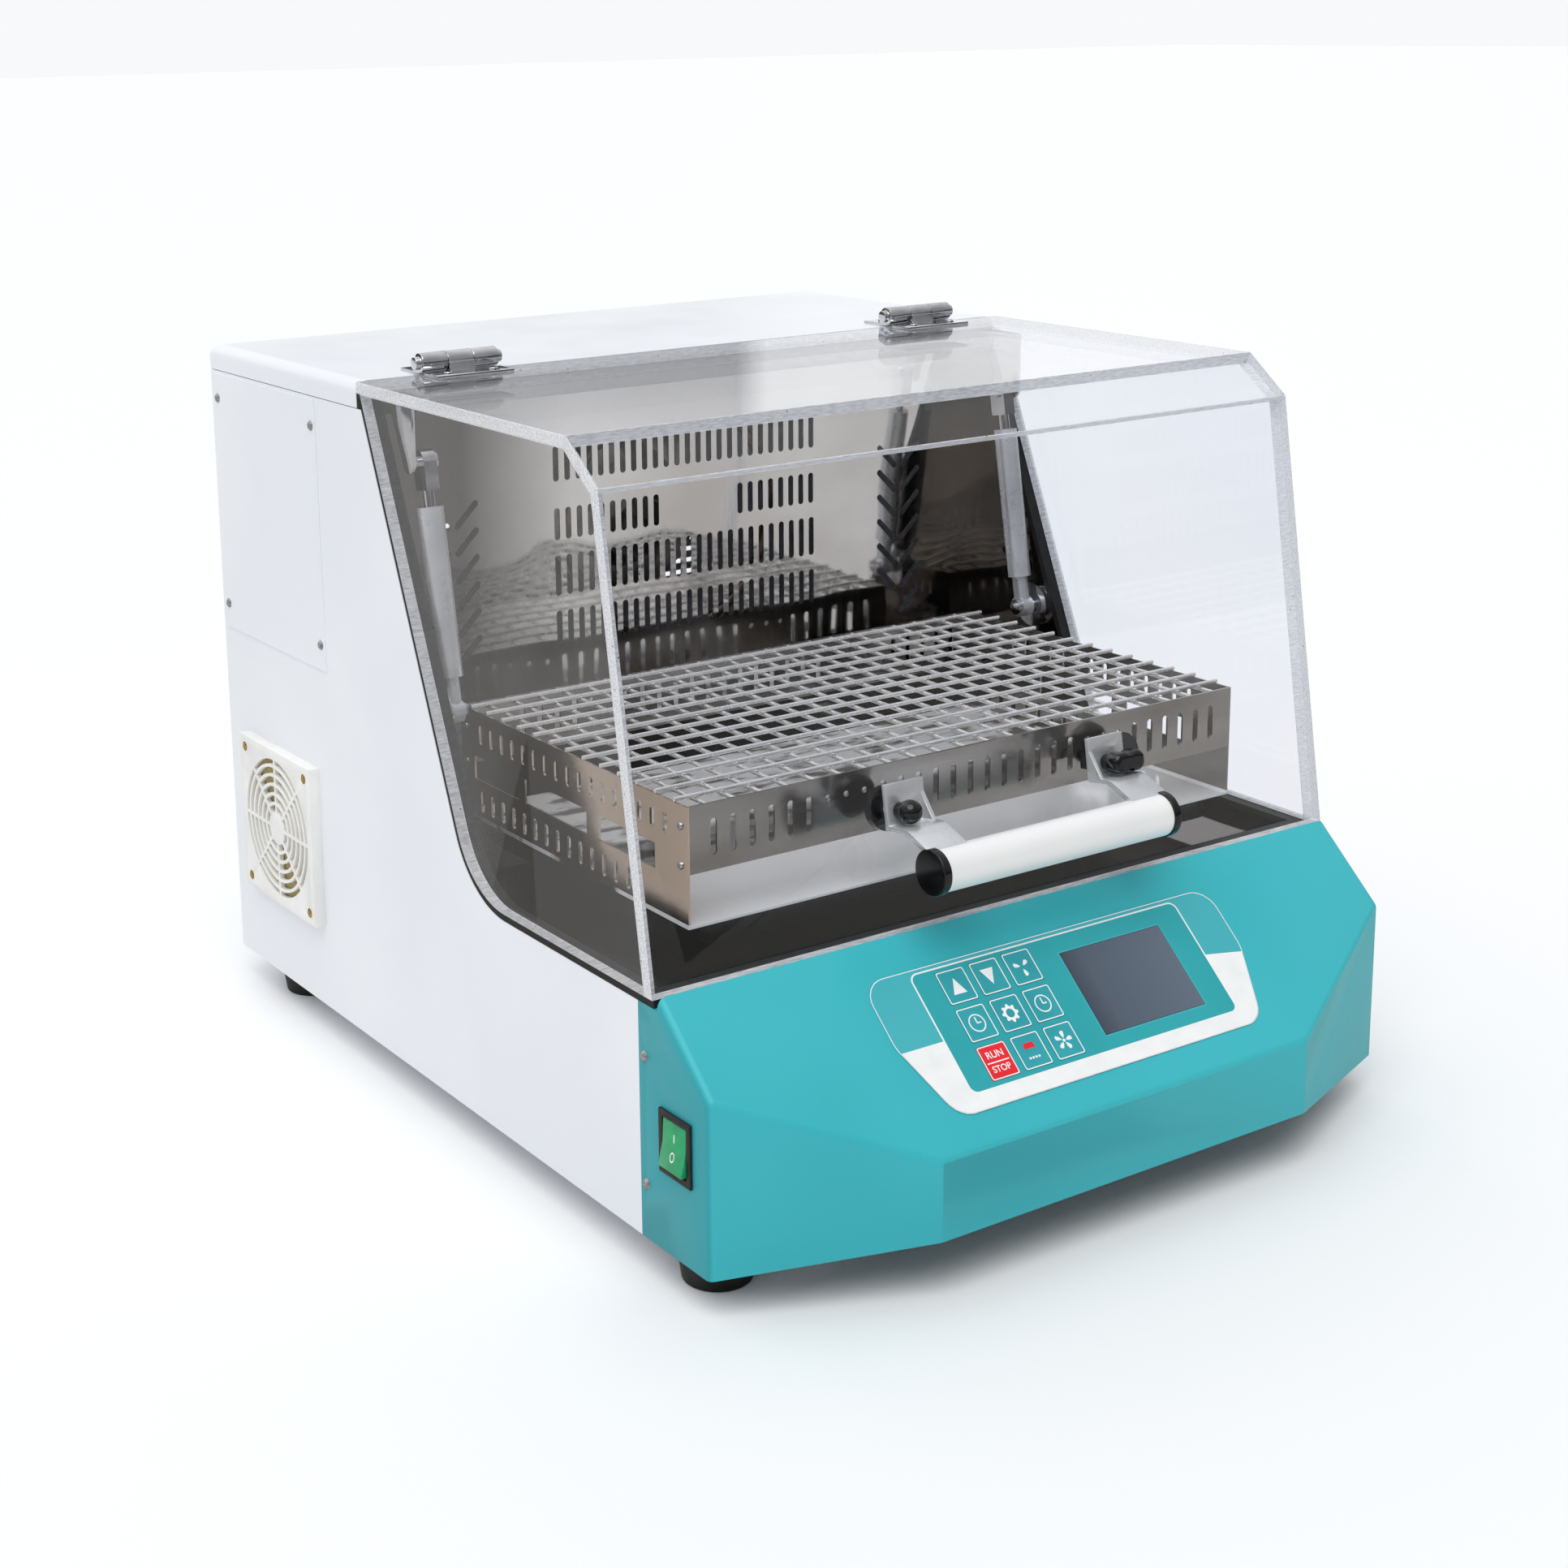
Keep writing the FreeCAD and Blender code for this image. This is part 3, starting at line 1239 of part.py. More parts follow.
def make_gas_springs():
    """Tubes on the wall studs, rods with their end blocks and pins, and the hood's tabs."""
    tubes = []
    rods = []
    mounts = []
    tabs = []
    for index, side in enumerate((-1, 1)):
        x = "(%d) * spring_offset" % side
        zero = ("0", "0", "spring_tube_start")
        tube = rod("spring_tube_%d" % index, "z", zero, "spring_tube_radius", "spring_tube_length")
        neck = rod("spring_neck_%d" % index, "z", ("0", "0", "0"), "spring_neck_radius",
                   "spring_tube_start + overrun")
        eye = rod("spring_eye_%d" % index, "x", ("-spring_eye_width / 2", "0", "0"), "spring_eye_radius",
                  "spring_eye_width")
        sides = []
        for near, far in both("spring_eye_width / 2", "spring_eye_radius"):
            sides.append(block("spring_eye_flat_%d" % index, (near, far),
                               ("-spring_eye_radius", "spring_eye_radius"),
                               ("-spring_eye_radius", "spring_tube_start - overrun")))
        eye_bore = rod("spring_eye_bore_%d" % index, "x", ("-spring_eye_radius", "0", "0"),
                       "spring_pin_radius + running_fit", "2 * spring_eye_radius")
        rod_bore = rod("spring_rod_bore_%d" % index, "z", ("0", "0", "spring_rod_foot - overrun"),
                       "spring_rod_radius + running_fit", "spring_length")
        body = cut("spring_tube_body_%d" % index, join("spring_tube_blank_%d" % index, tube, neck, eye),
                   eye_bore, rod_bore, *sides)
        tubes.append(lean_with_spring(body, x))

        stem = rod("spring_rod_%d" % index, "z", ("0", "0", "spring_rod_foot"), "spring_rod_radius",
                   "spring_length - spring_block_drop - spring_rod_foot + overrun")
        end_block = block("spring_block_%d" % index, ("-spring_eye_width / 2", "spring_eye_width / 2"),
                          ("-spring_eye_radius", "spring_eye_radius"),
                          ("spring_length - spring_block_drop", "spring_length"))
        end_round = rod("spring_block_round_%d" % index, "x",
                        ("-spring_eye_width / 2", "0", "spring_length"), "spring_eye_radius",
                        "spring_eye_width")
        reach = "tab_offset - side_play - spring_offset + spring_eye_width / 2 + stud_head_thick"
        start = "-(tab_offset - side_play - spring_offset)" if side < 0 else \
            "-(spring_eye_width / 2 + stud_head_thick)"
        head_start = "spring_eye_width / 2" if side < 0 else "-(spring_eye_width / 2 + stud_head_thick)"
        bolt = rod("spring_bolt_%d" % index, "x", (start, "0", "spring_length"),
                   "spring_pin_radius", reach)
        bolt_head = rod("spring_bolt_head_%d" % index, "x", (head_start, "0", "spring_length"),
                        "stud_head_radius", "stud_head_thick")
        rods.append(lean_with_spring(join("spring_rod_body_%d" % index, stem, end_block, end_round, bolt,
                                          bolt_head), x))

        low = ("-spring_low_depth", "spring_low_height")
        wall = "(%d) * liner_inner" % side
        inner = "(%d) * (spring_offset - spring_eye_width / 2 - side_play)" % side
        if side < 0:
            disc_start = wall
            stud_start = wall
            head_from = inner
        else:
            disc_start = wall + " - wall_disc_thick"
            stud_start = inner + " - stud_head_thick"
            head_from = stud_start
        stud_length = "liner_inner - spring_offset + spring_eye_width / 2 + side_play + stud_head_thick"
        mounts.append(join("wall_mount_%d" % index,
                           rod("wall_disc_%d" % index, "x", (disc_start,) + low, "wall_disc_radius",
                               "wall_disc_thick"),
                           rod("wall_stud_%d" % index, "x", (stud_start,) + low, "spring_pin_radius",
                               stud_length),
                           rod("wall_stud_head_%d" % index, "x", (head_from,) + low, "stud_head_radius",
                               "stud_head_thick")))

        tab_x = "-(tab_offset + tab_sheet)" if side < 0 else "tab_offset"
        pivot = ("-spring_high_depth", "spring_high_height")
        tab = plate("hood_tab_%d" % index, "YZ", tab_x,
                    [("-(spring_high_depth - spring_eye_radius)", pivot[1]),
                     ("-(spring_high_depth + spring_eye_radius)", pivot[1]),
                     ("-(spring_high_depth + spring_eye_radius)", "inner_top_height"),
                     ("-(spring_high_depth - tab_reach)", "inner_top_height")], "tab_sheet")
        tab_round = rod("hood_tab_round_%d" % index, "x", (tab_x,) + pivot, "spring_eye_radius",
                        "tab_sheet")
        foot_x = ("-(tab_offset + tab_sheet)", "-(tab_offset + tab_sheet - tab_foot_width)") if side < 0 \
            else ("tab_offset + tab_sheet - tab_foot_width", "tab_offset + tab_sheet")
        foot = block("hood_tab_foot_%d" % index, foot_x,
                     ("-(spring_high_depth + spring_eye_radius)", "-(spring_high_depth - tab_reach)"),
                     ("inner_top_height - tab_sheet", "inner_top_height"))
        tabs.append(join("hood_bracket_%d" % index, tab, tab_round, foot))
    node("gas_spring_tubes", group("spring_tube_pair", *tubes))
    node("gas_spring_rods", group("spring_rod_pair", *rods))
    node("spring_wall_mounts", group("wall_mount_pair", *mounts))
    node("hood_brackets", group("hood_bracket_pair", *tabs))


def wing_grip(middle):
    """Two-lobed grip: a rounded bar with a waist at its middle, one lobe on the knob's axis."""
    far = "knob_lobe_spacing + knob_lobe_radius"
    back = "%s - knob_lobe_radius" % middle
    front = "%s + knob_lobe_radius" % middle
    corners = [("-knob_lobe_radius", "-knob_lobe_radius"), (far, "-knob_lobe_radius"),
               (far, "knob_lobe_radius"), ("-knob_lobe_radius", "knob_lobe_radius")]
    bar = plate("wing_bar", "XY", back, corners, "2 * knob_lobe_radius")
    for across, up in corners:
        round_edges(bar, "knob_lobe_radius * lobe_end_share", upright_at(across, up, "x", "y"))
    ends = (number(back), number(front))
    match = number("edge_match")

    def at_ends(edge):
        return any(all(abs(vertex.Z - end) < match for vertex in edge.Vertexes) for end in ends)
    round_edges(bar, "knob_lobe_radius * lobe_face_share", at_ends)
    waists = []
    for side in ("-", ""):
        drop = side + "(knob_lobe_radius + knob_waist_radius * waist_drop_share)"
        waists.append(rod("wing_waist", "z", ("knob_lobe_spacing / 2", drop, back + " - overrun"),
                          "knob_waist_radius", "2 * knob_lobe_radius + 2 * overrun"))
    return cut("wing_grip_body", bar, *waists)


def handle_centre():
    """Depth and height of the handle tube's axis."""
    return hood_point("0", "handle_height - handle_standoff * front_cos", "handle_standoff")[1:]


def make_handle():
    """Tube handle with end caps, two curved straps with gussets, and two clamping knobs."""
    depth, height = handle_centre()
    half = "handle_length / 2"
    tube = cut("handle_tube_body",
               rod("handle_outer", "x", ("-" + half, depth, height), "handle_radius", "handle_length"),
               rod("handle_bore", "x", ("-(%s) - overrun" % half, depth, height),
                   "handle_radius - handle_wall", "handle_length + 2 * overrun"))
    node("handle_tube", tube)
    caps = []
    for index, (face, plug) in enumerate((("-(%s) - handle_cap" % half, "-(%s)" % half),
                                          (half, half + " - handle_cap"))):
        caps.append(join("handle_cap_%d" % index,
                         rod("cap_face_%d" % index, "x", (face, depth, height),
                             "handle_radius + handle_cap_rim", "handle_cap"),
                         rod("cap_plug_%d" % index, "x", (plug, depth, height),
                             "handle_radius - handle_wall", "handle_cap")))
    node("handle_end_caps", group("handle_cap_pair", *caps))

    straps = []
    level = "strap_level"
    for index, (low, high) in enumerate(both("strap_inner", "strap_inner + strap_width")):
        arm = plate("strap_arm_%d" % index, "YZ", low,
                    [hood_point("0", level, "0")[1:],
                     hood_point("0", level, "strap_reach + strap_sheet")[1:],
                     (depth, "(%s) + handle_radius" % height),
                     (depth + " + strap_sheet", "(%s) + handle_radius - strap_sheet" % height),
                     hood_point("0", level + " - strap_sheet", "strap_reach")[1:],
                     hood_point("0", level + " - strap_sheet", "0")[1:]], "strap_width")
        bend = hood_point("0", level, "strap_reach + strap_sheet")
        round_edges(arm, "strap_reach * strap_bend_share", upright_at(bend[1], bend[2], "y", "z"))
        plate_top = "(%s) + strap_plate" % level
        back = plate("strap_plate_%d" % index, "YZ", low,
                     [hood_point("0", level + " - strap_sheet", "0")[1:],
                      hood_point("0", plate_top, "0")[1:],
                      hood_point("0", plate_top, "strap_sheet")[1:],
                      hood_point("0", level + " - strap_sheet", "strap_sheet")[1:]], "strap_width")
        gusset_x = "-(strap_inner + strap_sheet)" if index == 0 else "strap_inner"
        gusset = plate("strap_gusset_%d" % index, "YZ", gusset_x,
                       [hood_point("0", level + " - strap_sheet / 2", "strap_sheet / 2")[1:],
                        hood_point("0", level + " - strap_sheet / 2", "gusset_reach")[1:],
                        hood_point("0", level, "gusset_reach")[1:],
                        hood_point("0", level + " + gusset_height", "strap_sheet / 2")[1:]], "strap_sheet")
        hole = document.addObject("Part::Cylinder", "strap_hole_%d" % index)
        bind(hole, Radius="knob_stem_radius + running_fit", Height="2 * strap_sheet + 2 * overrun")
        knob_x = "-left_knob_offset" if index == 0 else "right_knob_offset"
        square_to_hood(hole, knob_x, "knob_height", "-overrun")
        tube_clear = rod("strap_tube_clear_%d" % index, "x", (low + " - overrun", depth, height),
                         "handle_radius", "strap_width + 2 * overrun")
        cap_end = "-(%s) - handle_cap - overrun" % half if index == 0 else half
        cap_clear = rod("strap_cap_clear_%d" % index, "x", (cap_end, depth, height),
                        "handle_radius + handle_cap_rim + running_fit", "handle_cap + overrun")
        straps.append(cut("handle_strap_%d" % index,
                          join("handle_strap_blank_%d" % index, arm, back, gusset), hole, tube_clear,
                          cap_clear))
    node("handle_brackets", group("handle_bracket_pair", *straps))

    for label, x, disc_x in (("knob_left", "-left_knob_offset", "0"),
                             ("knob_right", "right_knob_offset", "knob_lever_reach")):
        inside = "-(hood_sheet + side_play + knob_disc_thick)"
        middle = "knob_grip_reach - knob_grip_radius"
        parts = [
            rod(label + "_disc", "z", (disc_x, "0", inside + " + knob_disc_bevel"), "knob_disc_radius",
                "knob_disc_thick - knob_disc_bevel"),
            cone(label + "_bevel", "z", (disc_x, "0", inside), "knob_disc_radius - knob_disc_bevel",
                 "knob_disc_radius", "knob_disc_bevel"),
            rod(label + "_stem", "z", ("0", "0", inside), "knob_stem_radius",
                "hood_sheet + side_play + knob_disc_thick + " + middle),
            rod(label + "_neck", "z", ("0", "0", "strap_sheet + side_play"), "knob_neck_radius",
                middle + " - strap_sheet - side_play")]
        if label == "knob_left":
            lobe = document.addObject("Part::Sphere", "knob_left_lobe")
            bind(lobe, Radius="knob_grip_radius")
            put(lobe, "0", "0", middle)
            parts.append(lobe)
        else:
            parts.append(block("knob_lever", ("-knob_lever_width / 2", "knob_lever_reach"),
                               ("-knob_lever_width / 2", "knob_lever_width / 2"),
                               (inside, "-(hood_sheet + side_play)")))
            parts.append(wing_grip(middle))
        body = join(label + "_body", *parts)
        node(label, group(label + "_turned", square_to_hood(body, x, "knob_height", "0")))


def make_tray():
    """Platform plate, perforated tray frame and its stretched wires."""
    plan = [("-half_tray + platform_inset", "-tray_rear - platform_inset"),
            ("-half_tray + platform_inset", "-tray_front + platform_inset"),
            ("half_tray - platform_inset", "-tray_front + platform_inset"),
            ("half_tray - platform_inset", "-tray_rear - platform_inset")]
    slab = plate("platform_slab", "XY", "platform_low", plan, "platform_thick")
    for x, y in plan:
        round_edges(slab, "platform_round", upright_at(x, y, "x", "y"))
    bosses = []
    seats = []
    for index, (x, y) in enumerate(shaft_places()):
        pin_y = "(%s) - orbit_radius" % y
        low = "crank_low + crank_thick + side_play"
        bosses.append(rod("platform_boss_%d" % index, "z", (x, pin_y, low), "platform_boss_radius",
                          "platform_low + platform_thick / 2 - (%s)" % low))
        seats.append(rod("platform_seat_%d" % index, "z", (x, pin_y, low + " - overrun"),
                         "crank_pin_radius + running_fit", "crank_pin_length + overrun"))
    node("shaker_platform", cut("shaker_platform_plate", join("platform_blank", slab, *bosses),
                                *seats))

    frame = plate("tray_blank", "XY", "tray_low",
                  [("-half_tray", "-tray_rear"), ("-half_tray", "-tray_front"),
                   ("half_tray", "-tray_front"), ("half_tray", "-tray_rear")], "tray_height")
    square_pocket(frame, "XY", "tray_top + overrun", "tray_height + overrun - tray_sheet",
                  ("-half_tray + tray_sheet", "-tray_front + tray_sheet"),
                  ("half_tray - tray_sheet", "-tray_rear - tray_sheet"))
    front = "tray_front + overrun"
    through = "tray_depth + 2 * overrun"
    square_pocket(frame, "XZ", front, through, ("-half_tray + tray_sheet", "tray_low + tray_sheet"),
                  ("half_tray - tray_sheet", "band_low"))
    slot_low = "band_slot_low + tray_slot_width / 2"
    slot_high = "band_slot_high - tray_slot_width / 2"
    for start, count in (("-tray_slot_pitch * (band_inner_count - 1) / 2", "band_inner_count"),
                         ("-band_outer_offset", "band_outer_count"),
                         ("band_outer_offset - tray_slot_pitch * (band_outer_count - 1)",
                          "band_outer_count")):
        slot_row(frame, "XZ", front, through, (start, slot_low), (start, slot_high),
                 "tray_slot_width", "H", "tray_slot_pitch", count)
    side = "half_tray + overrun"
    across = "tray_width + 2 * overrun"
    for low, high, count in (("side_slot_low", "side_slot_high", "side_slot_count"),
                             ("foot_slot_low", "foot_slot_high", "foot_slot_count")):
        start = "-(side_slot_first + tray_slot_pitch * (%s - 1))" % count
        slot_row(frame, "YZ", side, across, (start, low + " + tray_slot_width / 2"),
                 (start, high + " - tray_slot_width / 2"), "tray_slot_width", "H", "tray_slot_pitch",
                 count)
    for name in ("one", "two", "three"):
        square_pocket(frame, "YZ", side, across, ("-window_%s_front" % name, "window_low"),
                      ("-window_%s_rear" % name, "window_high"))
    holes = []
    for centre in ("-band_hole_offset", "band_hole_offset"):
        for index in (-1, 0, 1):
            x = "%s + (%d) * tray_slot_pitch" % (centre, index)
            holes.append(rod("band_hole", "y", (x, "-tray_front - overrun", "band_hole_height"),
                             "band_hole_radius", "tray_depth + 2 * overrun"))
    node("tray_frame", cut("tray_frame_drilled", frame, *holes))

    wires = []
    for index in range(int(number("long_wire_count"))):
        y = "-(tray_rear + tray_front) / 2 + (%d - (long_wire_count - 1) / 2) * long_wire_pitch" % index
        wires.append(rod("long_wire_%d" % index, "x",
                         ("-half_tray", y, "tray_top + wire_radius + wire_gap"), "wire_radius",
                         "tray_width"))
    for index in range(int(number("cross_wire_count"))):
        x = "(%d - (cross_wire_count - 1) / 2) * cross_wire_pitch" % index
        wires.append(rod("cross_wire_%d" % index, "y",
                         (x, "-tray_front + tray_sheet", "tray_top - wire_radius"), "wire_radius",
                         "tray_depth - 2 * tray_sheet"))
    node("tray_wires", group("tray_wire_set", *wires))


def shaft_places():
    """Axes of the driven shaft and the two idling shafts."""
    return [("0", "-drive_depth"), ("-idler_offset", "-idler_depth"), ("idler_offset", "-idler_depth")]


def make_shaft(label, x, y, driven):
    """An upright shaft with its crank disc and offset pin; the driven one has pulley and weight."""
    parts = [rod(label + "_shaft", "z", (x, y, "shaft_low"), "shaft_radius",
                 "crank_low - shaft_low + crank_thick / 2"),
             rod(label + "_crank", "z", (x, y, "crank_low"), "crank_radius", "crank_thick"),
             rod(label + "_pin", "z", (x, "(%s) - orbit_radius" % y, "crank_low"),
                 "crank_pin_radius", "crank_thick + crank_pin_length")]
    seat = "bearing_plate_height + bearing_plate_thick + bearing_height + side_play"
    collar = rod(label + "_collar", "z", (x, y, seat), "bearing_radius", "pulley_height - (%s)" % seat)
    parts.append(collar)
    if driven:
        parts.append(rod(label + "_pulley", "z", (x, y, "pulley_height"), "pulley_radius",
                         "pulley_thick"))
        disc = rod(label + "_weight_disc", "z", (x, y, "weight_height"), "weight_radius", "weight_thick")
        half = block(label + "_weight_cut",
                     ("(%s) - weight_radius - overrun" % x, "(%s) + weight_radius + overrun" % x),
                     ("(%s) - weight_radius - overrun" % y, "(%s) - shaft_radius" % y),
                     ("weight_height - overrun", "weight_height + weight_thick + overrun"))
        parts.append(cut(label + "_weight", disc, half))
    node(label, join(label + "_body", *parts))


def belt_loop(name, gap, height):
    """A closed loop round both pulleys at a gap from them, as a solid of the given height."""
    big = FreeCAD.Vector(0, -number("drive_depth"), 0)
    small = FreeCAD.Vector(-number("motor_offset"), -number("motor_depth"), 0)
    big_radius = number("pulley_radius + " + gap)
    small_radius = number("motor_pulley_radius + " + gap)
    line = small - big
    length = line.Length
    along = line.normalize()
    across = FreeCAD.Vector(-along.y, along.x, 0)
    cosine = (big_radius - small_radius) / length
    sine = (1 - cosine * cosine) ** 0.5
    up = along * cosine + across * sine
    down = along * cosine - across * sine
    points = [big + up * big_radius, small + up * small_radius, small + down * small_radius,
              big + down * big_radius]
    wire = Part.Wire([Part.LineSegment(points[0], points[1]).toShape(),
                      Part.Arc(points[1], small + along * small_radius, points[2]).toShape(),
                      Part.LineSegment(points[2], points[3]).toShape(),
                      Part.Arc(points[3], big - along * big_radius, points[0]).toShape()])
    solid = Part.Face(wire).extrude(FreeCAD.Vector(0, 0, height))
    feature = document.addObject("Part::Feature", name)
    feature.Shape = solid
    return feature


def make_drive():
    """Motor, belt, pulleys, bearing plate and three eccentric shafts under the chamber floor."""
    labels = ("eccentric_shaft_drive", "eccentric_shaft_left", "eccentric_shaft_right")
    for index, (label, (x, y)) in enumerate(zip(labels, shaft_places())):
        make_shaft(label, x, y, index == 0)

    low = "bearing_plate_height"
    high = "bearing_plate_height + bearing_plate_thick"
    x_low, x_high = "-(idler_offset + bearing_plate_margin)", "idler_offset + bearing_plate_margin"
    y_low, y_high = "-(idler_depth + bearing_plate_margin)", "-(drive_depth - bearing_plate_margin)"
    parts = [block("bearing_plate_sheet", (x_low, x_high), (y_low, y_high), (low, high))]
    bores = []
    for index, (x, y) in enumerate(shaft_places()):
        parts.append(rod("bearing_%d" % index, "z", (x, y, low), "bearing_radius",
                         "bearing_plate_thick + bearing_height"))
        bores.append(rod("bearing_bore_%d" % index, "z", (x, y, low + " - overrun"),
                         "shaft_radius + running_fit",
                         "bearing_plate_thick + bearing_height + 2 * overrun"))
    for index, (x, y) in enumerate(((x_low + " + bearing_post_inset", y_low + " + bearing_post_inset"),
                                    (x_high + " - bearing_post_inset", y_low + " + bearing_post_inset"),
                                    (x_high + " - bearing_post_inset", y_high + " - bearing_post_inset"),
                                    (x_low + " + motor_offset", y_high + " - bearing_post_inset"))):
        parts.append(rod("bearing_post_%d" % index, "z", (x, y, "panel_sheet"), "bearing_post_radius",
                         low + " - panel_sheet"))
    bay = rod("bearing_motor_bay", "z", ("-motor_offset", "-motor_depth", low + " - overrun"),
              "motor_radius + motor_bay_gap", "bearing_plate_thick + 2 * overrun")
    node("bearing_plate", cut("bearing_plate_body", join("bearing_plate_blank", *parts), bay, *bores))

    motor_x, motor_y = "-motor_offset", "-motor_depth"
    can = rod("motor_can", "z", (motor_x, motor_y, "panel_sheet"), "motor_radius",
              "motor_top - panel_sheet")
    boss = rod("motor_boss", "z", (motor_x, motor_y, "motor_top"), "motor_boss_radius",
               "motor_boss_height")
    bore = rod("motor_bore", "z", (motor_x, motor_y, "panel_sheet + motor_boss_height"),
               "motor_shaft_radius + running_fit", "motor_top + motor_boss_height")
    node("drive_motor", cut("drive_motor_body", join("drive_motor_blank", can, boss), bore))
    wheel = rod("motor_pulley_rim", "z", (motor_x, motor_y, "pulley_height"), "motor_pulley_radius",
                "pulley_thick")
    shaft_foot = "panel_sheet + motor_boss_height + side_play"
    shaft = rod("motor_shaft", "z", (motor_x, motor_y, shaft_foot), "motor_shaft_radius",
                "pulley_height + pulley_thick - (%s)" % shaft_foot)
    node("motor_pulley", join("motor_pulley_body", wheel, shaft))

    width = number("belt_width")
    outer = belt_loop("belt_outer", "belt_gap + belt_thick", width)
    inner = belt_loop("belt_inner", "belt_gap", width)
    height = "pulley_height + (pulley_thick - belt_width) / 2"
    put(outer, z=height)
    put(inner, z=height)
    node("drive_belt", cut("drive_belt_band", outer, inner))


def make_heating():
    """Blower motor on the rear panel, its wheel, and the ring heater round the wheel."""
    centre = ("0", "blower_height")
    end = "-(panel_sheet + blower_motor_length)"

    def disc(name, y, radius, length):
        return rod(name, "y", (centre[0], y, centre[1]), radius, length)
    can = disc("blower_can", end, "blower_motor_radius", "blower_motor_length")
    bore = disc("blower_bore", end + " - overrun", "blower_shaft_radius + running_fit",
                "blower_shaft_length + overrun")
    node("blower_motor", cut("blower_motor_body", can, bore))

    plate_y = end + " - blower_gap - wheel_sheet"
    parts = [disc("wheel_plate", plate_y, "wheel_radius", "wheel_sheet"),
             disc("wheel_hub", plate_y + " - wheel_depth / 2", "wheel_hub_radius",
                  "wheel_depth / 2 + wheel_sheet"),
             disc("wheel_shaft", plate_y, "blower_shaft_radius",
                  "wheel_sheet + blower_gap + blower_shaft_length - side_play")]
    rim_y = plate_y + " - wheel_depth"
    parts.append(cut("wheel_rim", disc("wheel_rim_outer", rim_y, "wheel_radius", "wheel_sheet"),
                     disc("wheel_rim_inner", rim_y + " - overrun", "wheel_radius - wheel_blade_length",
                          "wheel_sheet + 2 * overrun")))
    blades = int(number("wheel_blades"))
    for index in range(blades):
        blade = document.addObject("Part::Box", "wheel_blade_%d" % index)
        bind(blade, Length="wheel_sheet", Width="wheel_depth + wheel_sheet",
             Height="wheel_blade_length - 2 * wheel_sheet")
        turn = FreeCAD.Rotation(FreeCAD.Vector(0, 1, 0), 360 * index / blades)
        local = FreeCAD.Vector(-number("wheel_sheet") / 2, 0,
                               number("wheel_radius - wheel_blade_length + wheel_sheet"))
        start = FreeCAD.Vector(0, number(rim_y), number("blower_height"))
        blade.Placement = FreeCAD.Placement(start + turn.multVec(local), turn)
        parts.append(blade)
    node("blower_wheel", join("blower_wheel_body", *parts))

    ring = document.addObject("Part::Torus", "heater_ring")
    bind(ring, Radius1="heater_radius", Radius2="heater_tube")
    ring.Placement.Rotation = FreeCAD.Rotation(FreeCAD.Vector(1, 0, 0), 90)
    put(ring, "0", "-heater_depth", "blower_height")
    legs = []
    for index, side in enumerate((-1, 1)):
        angle = number("heater_foot_angle")
        turn = FreeCAD.Rotation(FreeCAD.Vector(0, 1, 0), side * angle)
        foot = turn.multVec(FreeCAD.Vector(0, 0, number("heater_radius")))
        leg = document.addObject("Part::Cylinder", "heater_leg_%d" % index)
        bind(leg, Radius="heater_tube * heater_leg_share", Height="heater_depth - panel_sheet")
        leg.Placement = FreeCAD.Placement(
            FreeCAD.Vector(foot.x, -number("heater_depth"), foot.z + number("blower_height")),
            FreeCAD.Rotation(FreeCAD.Vector(1, 0, 0), -90))
        legs.append(leg)
    node("heater", join("heater_body", ring, *legs))


def make_rocker():
    """Black bezel with its housing, and the rocker, pressed at its upper end."""
    def band(middle, size, inset):
        half = "(%s) / 2 - (%s)" % (size, inset)
        return ("%s - (%s)" % (middle, half), "%s + (%s)" % (middle, half))
    rim = block("bezel_rim_blank", ("-(half_width + bezel_proud)", "-half_width"),
                band("-rocker_depth", "bezel_width", "0"), band("rocker_height", "bezel_height", "0"))
    housing = block("bezel_housing", ("-half_width", "-half_width + bezel_body"),
                    band("-rocker_depth", "bezel_width", "bezel_rim + pan_fit"),
                    band("rocker_height", "bezel_height", "bezel_rim + pan_fit"))
    wall = "bezel_rim + pan_fit"
    throat = block("bezel_throat", ("-half_width - overrun", "-half_width + bezel_body - bezel_proud"),
                   band("-rocker_depth", "bezel_width", wall + " + bezel_proud / 2"),
                   band("rocker_height", "bezel_height", wall + " + bezel_proud / 2"))
    mouth = block("bezel_mouth", ("-(half_width + bezel_proud + overrun)", "-half_width + overrun"),
                  band("-rocker_depth", "bezel_width", wall + " + bezel_proud / 2"),
                  band("rocker_height", "bezel_height", wall + " + bezel_proud / 2"))
    node("rocker_bezel", cut("rocker_bezel_body", join("bezel_blank", rim, housing), throat, mouth))

    reach = "(bezel_height / 2 - bezel_rim - pan_fit - bezel_proud / 2 - 3 * rocker_gap)"
    width = "(bezel_width - 2 * (bezel_rim + pan_fit + bezel_proud / 2 + rocker_gap))"
    face = "-(rocker_rise + rocker_pivot)"
    root = "rocker_root - rocker_pivot"
    root_half = reach + " * rocker_root_share"
    waist = reach + " - rocker_gap"
    body = plate("rocker_blank", "XZ", "-(%s) / 2" % width,
                 [("-(rocker_dip + rocker_pivot)", "0"), (face, reach), ("0", waist),
                  (root, root_half), (root, "-" + root_half), ("0", "-(%s)" % waist),
                  (face, "-" + reach)], width)
    tilt = FreeCAD.Rotation(FreeCAD.Vector(0, 1, 0), number("rocker_throw"))
    body.Placement.Rotation = tilt
    put(body, "-half_width + rocker_pivot", "-rocker_depth", "rocker_height")
    half_pin = "((%s) / 2 + rocker_gap - side_play / 2)" % width
    pin = rod("rocker_pin", "y",
              ("-half_width + rocker_pivot", "-rocker_depth - " + half_pin, "rocker_height"),
              "rocker_pin_radius", "2 * " + half_pin)
    node("power_rocker", join("power_rocker_body", body, pin))


